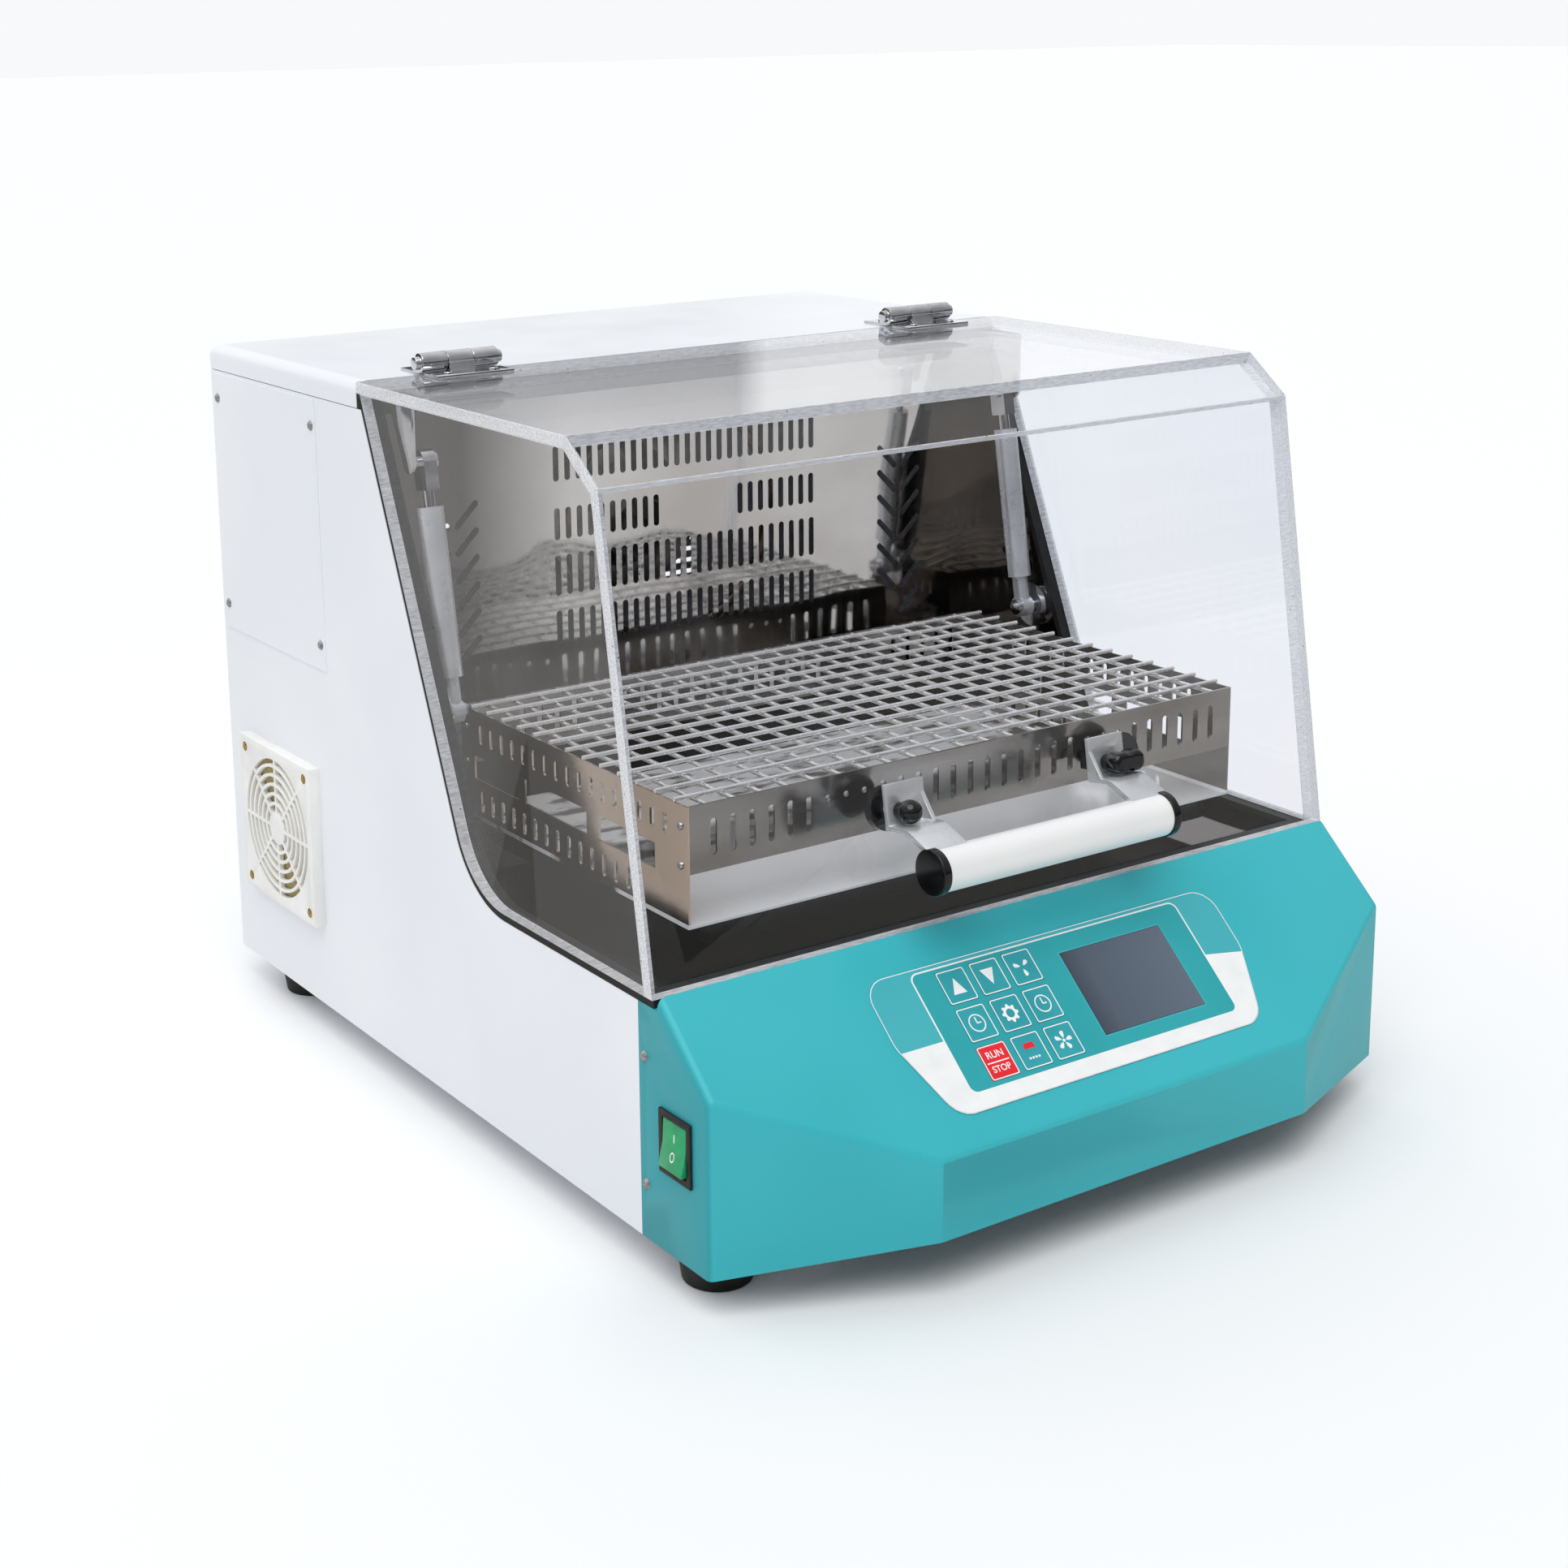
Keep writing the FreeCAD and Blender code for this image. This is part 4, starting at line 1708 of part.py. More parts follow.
def make_controls():
    """Film overlay with its windows, nine keys, and the board that carries the display."""
    windows = []
    names = ("key_up", "key_down", "key_light", "key_timer", "key_settings", "key_clock",
             "key_run_stop", "key_record", "key_fan")
    for index, name in enumerate(names):
        column = index % 3
        line = index // 3
        across = "-key_first_across + %d * key_pitch" % column
        down = "key_first_down + %d * key_pitch" % line

        def pad(label, gap, out):
            half = "(key_width / 2 + %s)" % gap
            reach = "(key_length / 2 + %s)" % gap
            return panel_block(label, ("%s - %s" % (across, half), "%s + %s" % (across, half)),
                               ("%s - %s" % (down, reach), "%s + %s" % (down, reach)), out)
        windows.append(pad(name + "_window", "key_gap", ("-overrun", "overrun")))
        top = "overlay_film + key_proud"
        cap = pad(name + "_cap", "0", (top + " - key_body", top))
        half = "key_stem / 2"
        stem = panel_block(name + "_stem", ("%s - %s" % (across, half), "%s + %s" % (across, half)),
                           ("%s - %s" % (down, half), "%s + %s" % (down, half)),
                           ("-key_stem_end", top + " - key_body / 2"))
        node(name, join(name + "_body", cap, stem))
    windows.append(panel_block("display_window_cut", ("display_left", "display_left + display_width"),
                               ("display_top", "display_top + display_height"), ("-overrun", "overrun")))
    corners = [("-overlay_half", "-overlay_top"), ("-overlay_half", "-overlay_waist"),
               ("-overlay_foot_half", "-overlay_foot"), ("overlay_foot_half", "-overlay_foot"),
               ("overlay_half", "-overlay_waist"), ("overlay_half", "-overlay_top")]
    film = plate("overlay_sheet", "XY", "0", corners, "overlay_film")
    for index, radius in ((0, "overlay_top_round"), (5, "overlay_top_round"), (2, "overlay_foot_round"),
                          (3, "overlay_foot_round")):
        round_edges(film, radius, upright_at(corners[index][0], corners[index][1], "x", "y"))
    lay_on_panel(film, "0", "0", "0")
    node("control_overlay", cut("control_overlay_film", film, *windows))

    gap = "key_gap"
    glass = panel_block("display_glass",
                        ("display_left + " + gap, "display_left + display_width - " + gap),
                        ("display_top + " + gap, "display_top + display_height - " + gap),
                        ("-board_drop", "overlay_film"))
    low_x = "-key_first_across - key_width / 2 - board_margin"
    high_x = "display_left + display_width + board_margin"
    low_s = "key_first_down - key_length / 2 - board_margin"
    high_s = "key_first_down + 2 * key_pitch + key_length / 2 + board_margin"
    board = panel_block("board_sheet_blank", (low_x, high_x), (low_s, high_s),
                        ("-board_drop - board_sheet", "-board_drop"))
    posts = []
    corners = [(x, down) for down in (low_s, high_s) for x in (low_x, high_x)]
    for index, (x, down) in enumerate(corners):
        inward = "+ board_margin / 2" if x == low_x else "- board_margin / 2"
        below = "+ board_margin / 2" if down == low_s else "- board_margin / 2"
        post = document.addObject("Part::Cylinder", "board_post_%d" % index)
        bind(post, Radius="board_post_radius", Height="board_drop - cover_wall")
        posts.append(lay_on_panel(post, "%s %s" % (x, inward), "%s %s" % (down, below), "-board_drop"))
    node("display_board", join("display_board_body", board, glass, *posts))


def check_document():
    """Stops on any failed object, and on any node that is empty, invalid or without a solid."""
    document.recompute()
    for thing in document.Objects:
        if "Invalid" in thing.State or "Error" in thing.State:
            raise RuntimeError("failed: %s %s" % (thing.Name, thing.State))
    for shape in NODES:
        if shape.Shape.isNull() or not shape.Shape.isValid() or not shape.Shape.Solids:
            raise RuntimeError("bad shape: " + shape.Label)


def write_nodes():
    os.makedirs("parts", exist_ok=True)
    for shape in NODES:
        shape.Shape.exportStep("parts/%s.step" % shape.Label)
        box = shape.Shape.BoundBox
        print("%-22s solids %2d  volume %10.0f  x %7.1f %7.1f  y %7.1f %7.1f  z %6.1f %6.1f" % (
            shape.Label, len(shape.Shape.Solids), shape.Shape.Volume, box.XMin, box.XMax, box.YMin,
            box.YMax, box.ZMin, box.ZMax))
    print("nodes", len(NODES))


fill_sheet()
make_casing()
make_front_cover()
make_feet()
make_fan()
make_inlet()
make_chamber()
make_hood()
make_hinges()
make_gas_springs()
make_handle()
make_tray()
make_drive()
make_heating()
make_rocker()
make_controls()
check_document()
write_nodes()
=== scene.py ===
"""Looks of an incubated benchtop shaker: white cabinet, teal cover, clear hood, steel tray."""
import json
import math

import bpy
from mathutils import Matrix, Vector


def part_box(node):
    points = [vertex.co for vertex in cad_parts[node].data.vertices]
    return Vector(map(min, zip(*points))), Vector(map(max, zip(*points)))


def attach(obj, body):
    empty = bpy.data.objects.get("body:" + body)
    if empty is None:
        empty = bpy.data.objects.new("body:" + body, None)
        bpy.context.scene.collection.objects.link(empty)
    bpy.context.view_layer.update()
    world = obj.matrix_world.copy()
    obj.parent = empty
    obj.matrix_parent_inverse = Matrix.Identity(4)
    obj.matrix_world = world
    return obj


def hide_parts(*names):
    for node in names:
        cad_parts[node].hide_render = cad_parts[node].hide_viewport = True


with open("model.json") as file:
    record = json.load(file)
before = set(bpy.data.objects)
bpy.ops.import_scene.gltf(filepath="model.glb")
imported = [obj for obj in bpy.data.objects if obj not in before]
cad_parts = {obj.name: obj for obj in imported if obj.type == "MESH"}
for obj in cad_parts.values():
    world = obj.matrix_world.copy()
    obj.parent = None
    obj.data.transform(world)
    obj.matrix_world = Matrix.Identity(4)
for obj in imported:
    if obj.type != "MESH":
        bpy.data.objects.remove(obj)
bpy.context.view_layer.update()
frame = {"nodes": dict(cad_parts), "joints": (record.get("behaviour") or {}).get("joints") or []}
nodes = frame["nodes"]
MM = 0.001


# ---------------------------------------------------------------- camera and studio

# The photograph's camera, solved from the cabinet's parallel edges.
CAMERA_SPOT = (-1.02516, -1.42194, 0.75848)
CAMERA_TURN, CAMERA_RISE, CAMERA_ROLL = -33.3107, 12.8238, -0.8688
PICTURE_PIXELS, FOCAL_PIXELS, CENTRE_PIXEL = 1932, 3072.704, (836.976, 707.321)
SENSOR_WIDTH = 36

# Where the white screen behind the machine begins, seen from the hood, and how bright it is.
SCREEN_EDGE = (0.5637, 0.8141, 0)
SCREEN_SIDE = (0.8141, -0.5637, 0)
SCREEN_LIGHT = (1.05, 1.06, 1.08, 1)


def set_camera():
    """The photograph's view: from the front left, a little above the hood."""
    turn, rise, roll = (math.radians(angle) for angle in (CAMERA_TURN, CAMERA_RISE, CAMERA_ROLL))
    back = Vector((math.sin(turn) * math.cos(rise), -math.cos(turn) * math.cos(rise), math.sin(rise)))
    level = Vector((math.cos(turn), math.sin(turn), 0))
    upright = back.cross(level)
    right = level * math.cos(roll) + upright * math.sin(roll)
    up = back.cross(right)
    lens = bpy.data.cameras.new("studio_camera")
    lens.sensor_width = SENSOR_WIDTH
    lens.lens = FOCAL_PIXELS / PICTURE_PIXELS * SENSOR_WIDTH
    lens.shift_x = (PICTURE_PIXELS / 2 - CENTRE_PIXEL[0]) / PICTURE_PIXELS
    lens.shift_y = (CENTRE_PIXEL[1] - PICTURE_PIXELS / 2) / PICTURE_PIXELS
    lens.clip_end = 50
    camera = bpy.data.objects.new("studio_camera", lens)
    bpy.context.scene.collection.objects.link(camera)
    facing = Matrix((right, up, back)).transposed().to_4x4()
    camera.matrix_world = Matrix.Translation(CAMERA_SPOT) @ facing
    bpy.context.scene.camera = camera


def add(tree, kind, sockets=(), **settings):
    """Adds a node with its settings. A socket takes a number, a colour or another node's output."""
    node = tree.nodes.new("ShaderNode" + kind)
    for name, value in settings.items():
        if name != "stops":
            setattr(node, name, value)
            continue
        marks = node.color_ramp.elements
        while len(marks) < len(value):
            marks.new(1)
        for mark, (place, colour) in zip(marks, value):
            mark.position = place
            mark.color = linear(colour)
    for name, value in dict(sockets).items():
        if isinstance(value, bpy.types.NodeSocket):
            tree.links.new(value, node.inputs[name])
        else:
            node.inputs[name].default_value = value
    return node


def linear(code):
    """An sRGB hex colour as linear light."""
    parts = [int(code[start:start + 2], 16) / 255 for start in (1, 3, 5)]
    return tuple(part / 12.92 if part <= 0.04045 else ((part + 0.055) / 1.055) ** 2.4
                 for part in parts) + (1,)


def soft_sun(name, source, power, spread):
    """An even, very wide lamp that shines from the side of source."""
    lamp = bpy.data.lights.new(name, "SUN")
    lamp.energy = power
    lamp.angle = math.radians(spread)
    holder = bpy.data.objects.new(name, lamp)
    bpy.context.scene.collection.objects.link(holder)
    holder.rotation_euler = (-Vector(source)).to_track_quat("-Z", "Y").to_euler()


def set_studio():
    """Air that is bright overhead and dim low down, one wide lamp from the upper left, pale floor."""
    scene = bpy.context.scene
    scene.view_settings.view_transform = "Standard"
    light_the_air(scene)
    soft_sun("wide_box", (-0.3, -0.36, 0.88), 1.47, 50)
    lay_the_floor()


def light_the_air(scene):
    """The world: a plain pale backdrop to the camera, a shaded room to everything else."""
    world = bpy.data.worlds.new("studio_air")
    scene.world = world
    world.use_nodes = True
    tree = world.node_tree
    sky = tree.nodes["Background"]
    place = add(tree, "TexCoord")
    height = add(tree, "SeparateXYZ", {0: place.outputs["Generated"]})
    overhead = add(tree, "ValToRGB", {0: height.outputs["Z"]},
                   stops=((0.0, "#323234"), (0.1, "#5A5A5C"), (0.17, "#D2D3D6"), (0.35, "#E6E8EB"),
                          (1.0, "#FFFFFF")))
    # The room is dim at the front right and bright at the back, so polished steel shows both.
    side = add(tree, "VectorMath", {0: place.outputs["Generated"], 1: (0.2, -0.8, 0)},
               operation="DOT_PRODUCT")
    cloth = add(tree, "MapRange", {0: side.outputs["Value"], 1: -0.7, 2: 0.6, 3: 1.15, 4: 0.4})
    shade = add(tree, "VectorMath", {0: overhead.outputs["Color"], "Scale": cloth.outputs[0]},
                operation="SCALE")
    # A white screen stands low behind the machine, its left edge in line with the hood's middle:
    # the hood's top mirrors it.
    ahead = add(tree, "VectorMath", {0: place.outputs["Generated"], 1: SCREEN_EDGE},
                operation="DOT_PRODUCT")
    beside = add(tree, "VectorMath", {0: place.outputs["Generated"], 1: SCREEN_SIDE},
                 operation="DOT_PRODUCT")
    behind = add(tree, "MapRange", {0: ahead.outputs["Value"], 1: 0.82, 2: 0.9})
    right = add(tree, "MapRange", {0: beside.outputs["Value"], 1: 0.0, 2: 0.012, 3: 0.06, 4: 1.0})
    low = add(tree, "MapRange", {0: height.outputs["Z"], 1: 0.3, 2: 0.22})
    patch = add(tree, "Math", {0: behind.outputs[0], 1: right.outputs[0]}, operation="MULTIPLY")
    screen = add(tree, "Math", {0: patch.outputs[0], 1: low.outputs[0]}, operation="MULTIPLY")
    air = add(tree, "Mix", {0: screen.outputs[0], 6: shade.outputs[0], 7: SCREEN_LIGHT},
              data_type="RGBA")
    sight = add(tree, "LightPath")
    seen = add(tree, "Mix", {0: sight.outputs["Is Camera Ray"], 6: air.outputs[2],
                             7: linear("#F8F9FB")}, data_type="RGBA")
    tree.links.new(seen.outputs[2], sky.inputs["Color"])
    sky.inputs["Strength"].default_value = 1.0


def lay_the_floor():
    """A wide sheet of pale paper, painted darker where polished metal reflects it."""
    bpy.ops.object.select_all(action="DESELECT")
    bpy.ops.mesh.primitive_plane_add(size=60, location=(0, 0, 0))
    floor = bpy.context.object
    floor.name = "floor"
    paper = bpy.data.materials.new("studio_paper")
    paper.use_nodes = True
    tree = paper.node_tree
    shader = tree.nodes["Principled BSDF"]
    # Glossy rays see the paper darker grey: a painted darker reflection of the floor in metal.
    ray = add(tree, "LightPath")
    tone = add(tree, "Mix", {0: ray.outputs["Is Glossy Ray"], 6: linear("#F8F9FA"),
                             7: linear("#C4C1BC")}, data_type="RGBA")
    tree.links.new(tone.outputs[2], shader.inputs["Base Color"])
    shader.inputs["Roughness"].default_value = 0.7
    floor.data.materials.append(paper)


# ---------------------------------------------------------------- finishes

def finish(name, **plain):
    """A new material: its tree, its shader and its Object coordinates. plain sets shader sockets."""
    made = bpy.data.materials.new(name)
    made.use_nodes = True
    tree = made.node_tree
    shader = tree.nodes["Principled BSDF"]
    for socket, value in plain.items():
        shader.inputs[socket.replace("_", " ")].default_value = value
    return made, tree, shader, add(tree, "TexCoord").outputs["Object"]


def mottle(tree, shader, place, per_metre, dark, light, low=0.35, high=0.65, detail=3):
    """Colour that wanders between two shades, patch size 1 / per_metre."""
    drift = add(tree, "TexNoise", {"Vector": place, "Scale": per_metre, "Detail": detail})
    tone = add(tree, "ValToRGB", {0: drift.outputs["Fac"]}, stops=((low, dark), (high, light)))
    tree.links.new(tone.outputs["Color"], shader.inputs["Base Color"])
    return tone


def uneven_gloss(tree, shader, place, per_metre, smooth, rough, detail=3):
    """Roughness that varies between two values."""
    drift = add(tree, "TexNoise", {"Vector": place, "Scale": per_metre, "Detail": detail})
    level = add(tree, "MapRange", {0: drift.outputs["Fac"], 1: 0.3, 2: 0.7, 3: smooth, 4: rough})
    tree.links.new(level.outputs[0], shader.inputs["Roughness"])


def grain(tree, shader, place, per_metre, depth, strength=1.0, detail=2):
    """Fine surface relief of the given depth in metres."""
    bumps = add(tree, "TexNoise", {"Vector": place, "Scale": per_metre, "Detail": detail})
    relief = add(tree, "Bump",
                 {"Height": bumps.outputs["Fac"], "Strength": strength, "Distance": depth})
    tree.links.new(relief.outputs["Normal"], shader.inputs["Normal"])


def cabinet_finishes():
    """Paint, mouldings and foam on the outside."""
    made = {}

    # Powder-coated sheet steel: cool white, satin, with the faint orange peel of baked powder
    # (bumps about 1.2 mm across) and a barely uneven gloss.
    coat, tree, shader, place = finish("powder_coated_steel", Roughness=0.34)
    mottle(tree, shader, place, 5, "#EDF0F5", "#F3F5F9")
    uneven_gloss(tree, shader, place, 18, 0.3, 0.4)
    grain(tree, shader, place, 800, 0.00002, 0.5)
    made["white_paint"] = coat

    # Painted ABS moulding: bright teal, satin gloss, fine paint texture, slight tone drift. The
    # left flank is darkened: painted shade on the face that gets less light.
    teal, tree, shader, place = finish("teal_painted_abs", Roughness=0.3, Coat_Weight=0.05,
                                       Coat_Roughness=0.18, Specular_IOR_Level=0.2)
    tone = mottle(tree, shader, place, 7, "#3DB8C2", "#43BEC8", detail=1)
    spot = add(tree, "SeparateXYZ", {0: place})
    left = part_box("front_cover")[0][0]
    # Painted shade: the colour falls to 0.74 across the left face.
    flank = add(tree, "MapRange", {0: spot.outputs["X"], 1: left + 0.8 * MM, 2: left + 2.4 * MM,
                                   3: 0.74, 4: 1.0})
    deep = add(tree, "VectorMath", {0: tone.outputs["Color"], "Scale": flank.outputs[0]},
               operation="SCALE")
    tree.links.new(deep.outputs[0], shader.inputs["Base Color"])
    uneven_gloss(tree, shader, place, 22, 0.3, 0.33, detail=1)
    grain(tree, shader, place, 900, 0.000015, 0.5)
    made["teal_moulding"] = teal

    # Injection-moulded off-white ABS: softer and a touch warmer than the painted steel, with a
    # fine spark-eroded texture.
    guard, tree, shader, place = finish("moulded_white_abs", Roughness=0.42)
    mottle(tree, shader, place, 30, "#EDEDEA", "#F4F4F1")
    grain(tree, shader, place, 1600, 0.00002, 0.6)
    made["guard_plastic"] = guard

    # Open-cell filter foam: khaki, matt, pores about 1.6 mm wide, their centres painted dark as
    # shade inside the open cells.
    foam, tree, shader, place = finish("khaki_filter_foam", Roughness=0.95)
    cells = add(tree, "TexVoronoi", {"Vector": place, "Scale": 620}, feature="DISTANCE_TO_EDGE")
    pore_shading = add(tree, "ValToRGB", {0: cells.outputs["Distance"]},
               stops=((0.0, "#C9BA84"), (0.25, "#A8965C"), (0.6, "#5A4C28")))
    tree.links.new(pore_shading.outputs["Color"], shader.inputs["Base Color"])
    relief = add(tree, "Bump",
                 {"Height": cells.outputs["Distance"], "Strength": 0.8, "Distance": 0.0006},
                 invert=True)
    tree.links.new(relief.outputs["Normal"], shader.inputs["Normal"])
    made["filter_mat"] = foam

    # Moulded black ABS with an even leather-like erosion texture.
    black, tree, shader, place = finish("moulded_black_abs", Roughness=0.45)
    mottle(tree, shader, place, 60, "#101113", "#1B1C1E")
    uneven_gloss(tree, shader, place, 40, 0.38, 0.52)
    grain(tree, shader, place, 1500, 0.00003, 0.6)
    made["black_plastic"] = black

    # Phenolic resin, pressed in a polished mould: deep black with sharp highlights and a trace
    # of flow marks.
    phenolic, tree, shader, place = finish("pressed_phenolic", Roughness=0.14)
    mottle(tree, shader, place, 45, "#08080A", "#121214")
    uneven_gloss(tree, shader, place, 60, 0.1, 0.2)
    grain(tree, shader, place, 90, 0.00008, 0.35)
    made["gloss_black"] = phenolic
    return made


def steel_finishes():
    """Stainless steel of the chamber and the tray."""
    made = {}

    # Mirror-polished stainless sheet: clear but slightly wavy reflections, with faint upright
    # polishing lines about 1.5 mm apart and hazy patches. Towards the rear wall's left end its
    # colour is darkened: painted shade, where the side wall shelters it.
    mirror, tree, shader, place = finish("mirror_polished_stainless", Metallic=1.0)
    cloud = mottle(tree, shader, place, 5, "#E0DCD8", "#FDFCFA", detail=4)
    spot = add(tree, "SeparateXYZ", {0: place})
    # Painted shade: the colour falls to 0.14 at the rear wall's left end.
    left_end_painted_shade = add(tree, "MapRange", {0: spot.outputs["X"], 1: -190 * MM, 2: -100 * MM, 3: 0.14, 4: 1.0})
    shade = add(tree, "VectorMath", {0: cloud.outputs["Color"], "Scale": left_end_painted_shade.outputs[0]},
                operation="SCALE")
    tree.links.new(shade.outputs[0], shader.inputs["Base Color"])
    upright = add(tree, "Mapping", {"Vector": place, "Scale": (60, 60, 2)}).outputs["Vector"]
    uneven_gloss(tree, shader, upright, 8, 0.03, 0.09)
    wave = add(tree, "TexNoise", {"Vector": place, "Scale": 9, "Detail": 1})
    thin = add(tree, "Mapping", {"Vector": place, "Scale": (1, 0.01, 0.01)}).outputs["Vector"]
    line = add(tree, "TexNoise", {"Vector": thin, "Scale": 700})
    both = add(tree, "Math", {0: line.outputs["Fac"], 1: 0.001, 2: wave.outputs["Fac"]},
               operation="MULTIPLY_ADD")
    relief = add(tree, "Bump", {"Height": both.outputs[0], "Strength": 1.0, "Distance": 0.0026})
    tree.links.new(relief.outputs["Normal"], shader.inputs["Normal"])
    made["mirror_steel"] = mirror

    # The same sheet on the chamber's sides and floor, its colours darkened to a warm brown:
    # painted shade for the tray's shadow over them.
    shaded_mirror = mirror.copy()
    shaded_mirror.name = "shaded_polished_stainless"
    ramp = next(node for node in shaded_mirror.node_tree.nodes if node.type == "VALTORGB")
    ramp.color_ramp.elements[0].color = linear("#57514B")
    ramp.color_ramp.elements[1].color = linear("#7C766F")
    made["shade_painted_steel"] = shaded_mirror

    # Bright-annealed stainless sheet: nearly a mirror, with long soft stains and a fine level
    # rolling grain that shows as short scratches about 1 mm apart. The tray's left flank is a
    # touch straw-coloured. Its floor is blasted pale, clean at the front and clouded with darker
    # patches further back, apart from a strip left polished behind the front band, which shows
    # dark through the band's slots.
    sheet, tree, shader, place = finish("bright_annealed_stainless", Metallic=1.0)
    level = add(tree, "Mapping", {"Vector": place, "Scale": (1, 1, 3)}).outputs["Vector"]
    stain = mottle(tree, shader, level, 7, "#908C88", "#ABA8A5", detail=4)
    spot = add(tree, "SeparateXYZ", {0: place})
    bright = add(tree, "Math", {0: spot.outputs["Z"], 1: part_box("tray_frame")[0][2] + 3 * MM},
                 operation="LESS_THAN")
    flank = add(tree, "Math", {0: spot.outputs["X"], 1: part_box("tray_frame")[0][0] + 1.6 * MM},
                operation="LESS_THAN")
    warm = add(tree, "Mix", {0: flank.outputs[0], 6: stain.outputs["Color"], 7: linear("#D6C2AF")},
               data_type="RGBA")
    cloudy = add(tree, "Mapping", {"Vector": place, "Scale": (0.7, 1.6, 1)}).outputs["Vector"]
    clouds = add(tree, "TexNoise", {"Vector": cloudy, "Scale": 34, "Detail": 3})
    pale = add(tree, "ValToRGB", {0: clouds.outputs["Fac"]},
               stops=((0.4, "#7B766F"), (0.52, "#FFFFFE")))
    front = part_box("tray_frame")[0][1]
    within = add(tree, "MapRange", {0: spot.outputs["Y"], 1: front + 80 * MM, 2: front + 88 * MM})
    beyond = add(tree, "MapRange", {0: spot.outputs["Y"], 1: front + 164 * MM, 2: front + 152 * MM})
    floor_clouding = add(tree, "Mix", {0: within.outputs[0], 6: linear("#FFFFFE"), 7: pale.outputs["Color"]},
               data_type="RGBA")
    blank = add(tree, "Mix", {0: bright.outputs[0], 6: warm.outputs[2], 7: floor_clouding.outputs[2]},
                data_type="RGBA")
    tree.links.new(blank.outputs[2], shader.inputs["Base Color"])
    strip = add(tree, "Math", {0: within.outputs[0], 1: beyond.outputs[0]}, operation="MULTIPLY")
    blasted = add(tree, "MapRange", {0: strip.outputs[0], 3: 0.25, 4: 1.0})
    metal = add(tree, "Mix", {0: bright.outputs[0], 2: 1.0, 3: blasted.outputs[0]})
    tree.links.new(metal.outputs[0], shader.inputs["Metallic"])
    scratched = add(tree, "Mapping", {"Vector": place, "Scale": (6, 6, 260)}).outputs["Vector"]
    uneven_gloss(tree, shader, scratched, 5, 0.1, 0.2, detail=4)
    wave = add(tree, "TexNoise", {"Vector": place, "Scale": 16, "Detail": 1})
    relief = add(tree, "Bump", {"Height": wave.outputs["Fac"], "Strength": 1.0, "Distance": 0.0008})
    tree.links.new(relief.outputs["Normal"], shader.inputs["Normal"])
    made["stainless"] = sheet

    # Drawn stainless wire: bright, lightly die-marked along its length.
    wire, tree, shader, place = finish("drawn_stainless_wire", Metallic=0.65)
    mottle(tree, shader, place, 90, "#ECEAE7", "#FAF9F8")
    uneven_gloss(tree, shader, place, 240, 0.2, 0.3)
    grain(tree, shader, place, 1500, 0.00001, 0.3)
    made["wire"] = wire
    return made


def hood_finishes():
    """The clear sheets and their pale rims, partly painted as a highlight."""
    made = {}

    # Cast acrylic sheet, polished: water-clear and faintly cool, with window reflections that
    # grow towards grazing view, as slightly wavy as a cast sheet is.
    acrylic, tree, shader, place = finish("cast_acrylic", Base_Color=linear("#FFFFFF"), Metallic=1.0,
                                          Roughness=0.02)
    grain(tree, shader, place, 7, 0.0008, 0.15, detail=1)
    view = add(tree, "LayerWeight", {"Blend": 0.5})
    steep = add(tree, "Math", {0: view.outputs["Facing"], 1: 4.0}, operation="POWER")
    share = add(tree, "MapRange", {0: steep.outputs[0], 3: 0.025, 4: 0.85})
    body = add(tree, "TexNoise", {"Vector": place, "Scale": 3.0})
    tint = add(tree, "ValToRGB", {0: body.outputs["Fac"]},
               stops=((0.3, "#FBFCFE"), (0.7, "#FDFDFE")))
    clear = add(tree, "BsdfTransparent", {"Color": tint.outputs["Color"]})
    pane = add(tree, "MixShader", {0: share.outputs[0], 1: clear.outputs[0], 2: shader.outputs[0]})
    tree.links.new(pane.outputs[0], tree.nodes["Material Output"].inputs["Surface"])
    made["acrylic"] = acrylic

    # The same sheet at its sawn and flame-polished rims and glued joints: pale and glassy, the
    # pale tone partly the rim's own and partly a painted highlight for light carried to the rims,
    # with streaks about 0.5 mm apart along the rim and a few tiny bubbles in the cement.
    rim, tree, shader, place = finish("polished_acrylic_rim", Roughness=0.12, Coat_Weight=0.5,
                                      Coat_Roughness=0.03)
    sawn = add(tree, "Mapping", {"Vector": place, "Scale": (30, 150, 150)}).outputs["Vector"]
    streak = add(tree, "TexNoise", {"Vector": sawn, "Scale": 5, "Detail": 4})
    tone = add(tree, "ValToRGB", {0: streak.outputs["Fac"]},
               stops=((0.3, "#D9DADD"), (0.5, "#EEEFF2"), (0.7, "#FAFBFD")))
    bubbles = add(tree, "TexVoronoi", {"Vector": place, "Scale": 90})
    dots = add(tree, "Math", {0: bubbles.outputs["Distance"], 1: 0.06}, operation="LESS_THAN")
    speck = add(tree, "Mix", {0: dots.outputs[0], 6: tone.outputs["Color"], 7: linear("#7E7D7C")},
                data_type="RGBA")
    tree.links.new(speck.outputs[2], shader.inputs["Base Color"])
    body = add(tree, "MapRange", {0: streak.outputs["Fac"], 1: 0.3, 2: 0.7, 3: 0.68, 4: 0.84})
    through = add(tree, "BsdfTransparent", {"Color": linear("#F2F4F8")})
    edge = add(tree, "MixShader", {0: body.outputs[0], 1: through.outputs[0], 2: shader.outputs[0]})
    tree.links.new(edge.outputs[0], tree.nodes["Material Output"].inputs["Surface"])
    made["acrylic_rim"] = rim
    return made


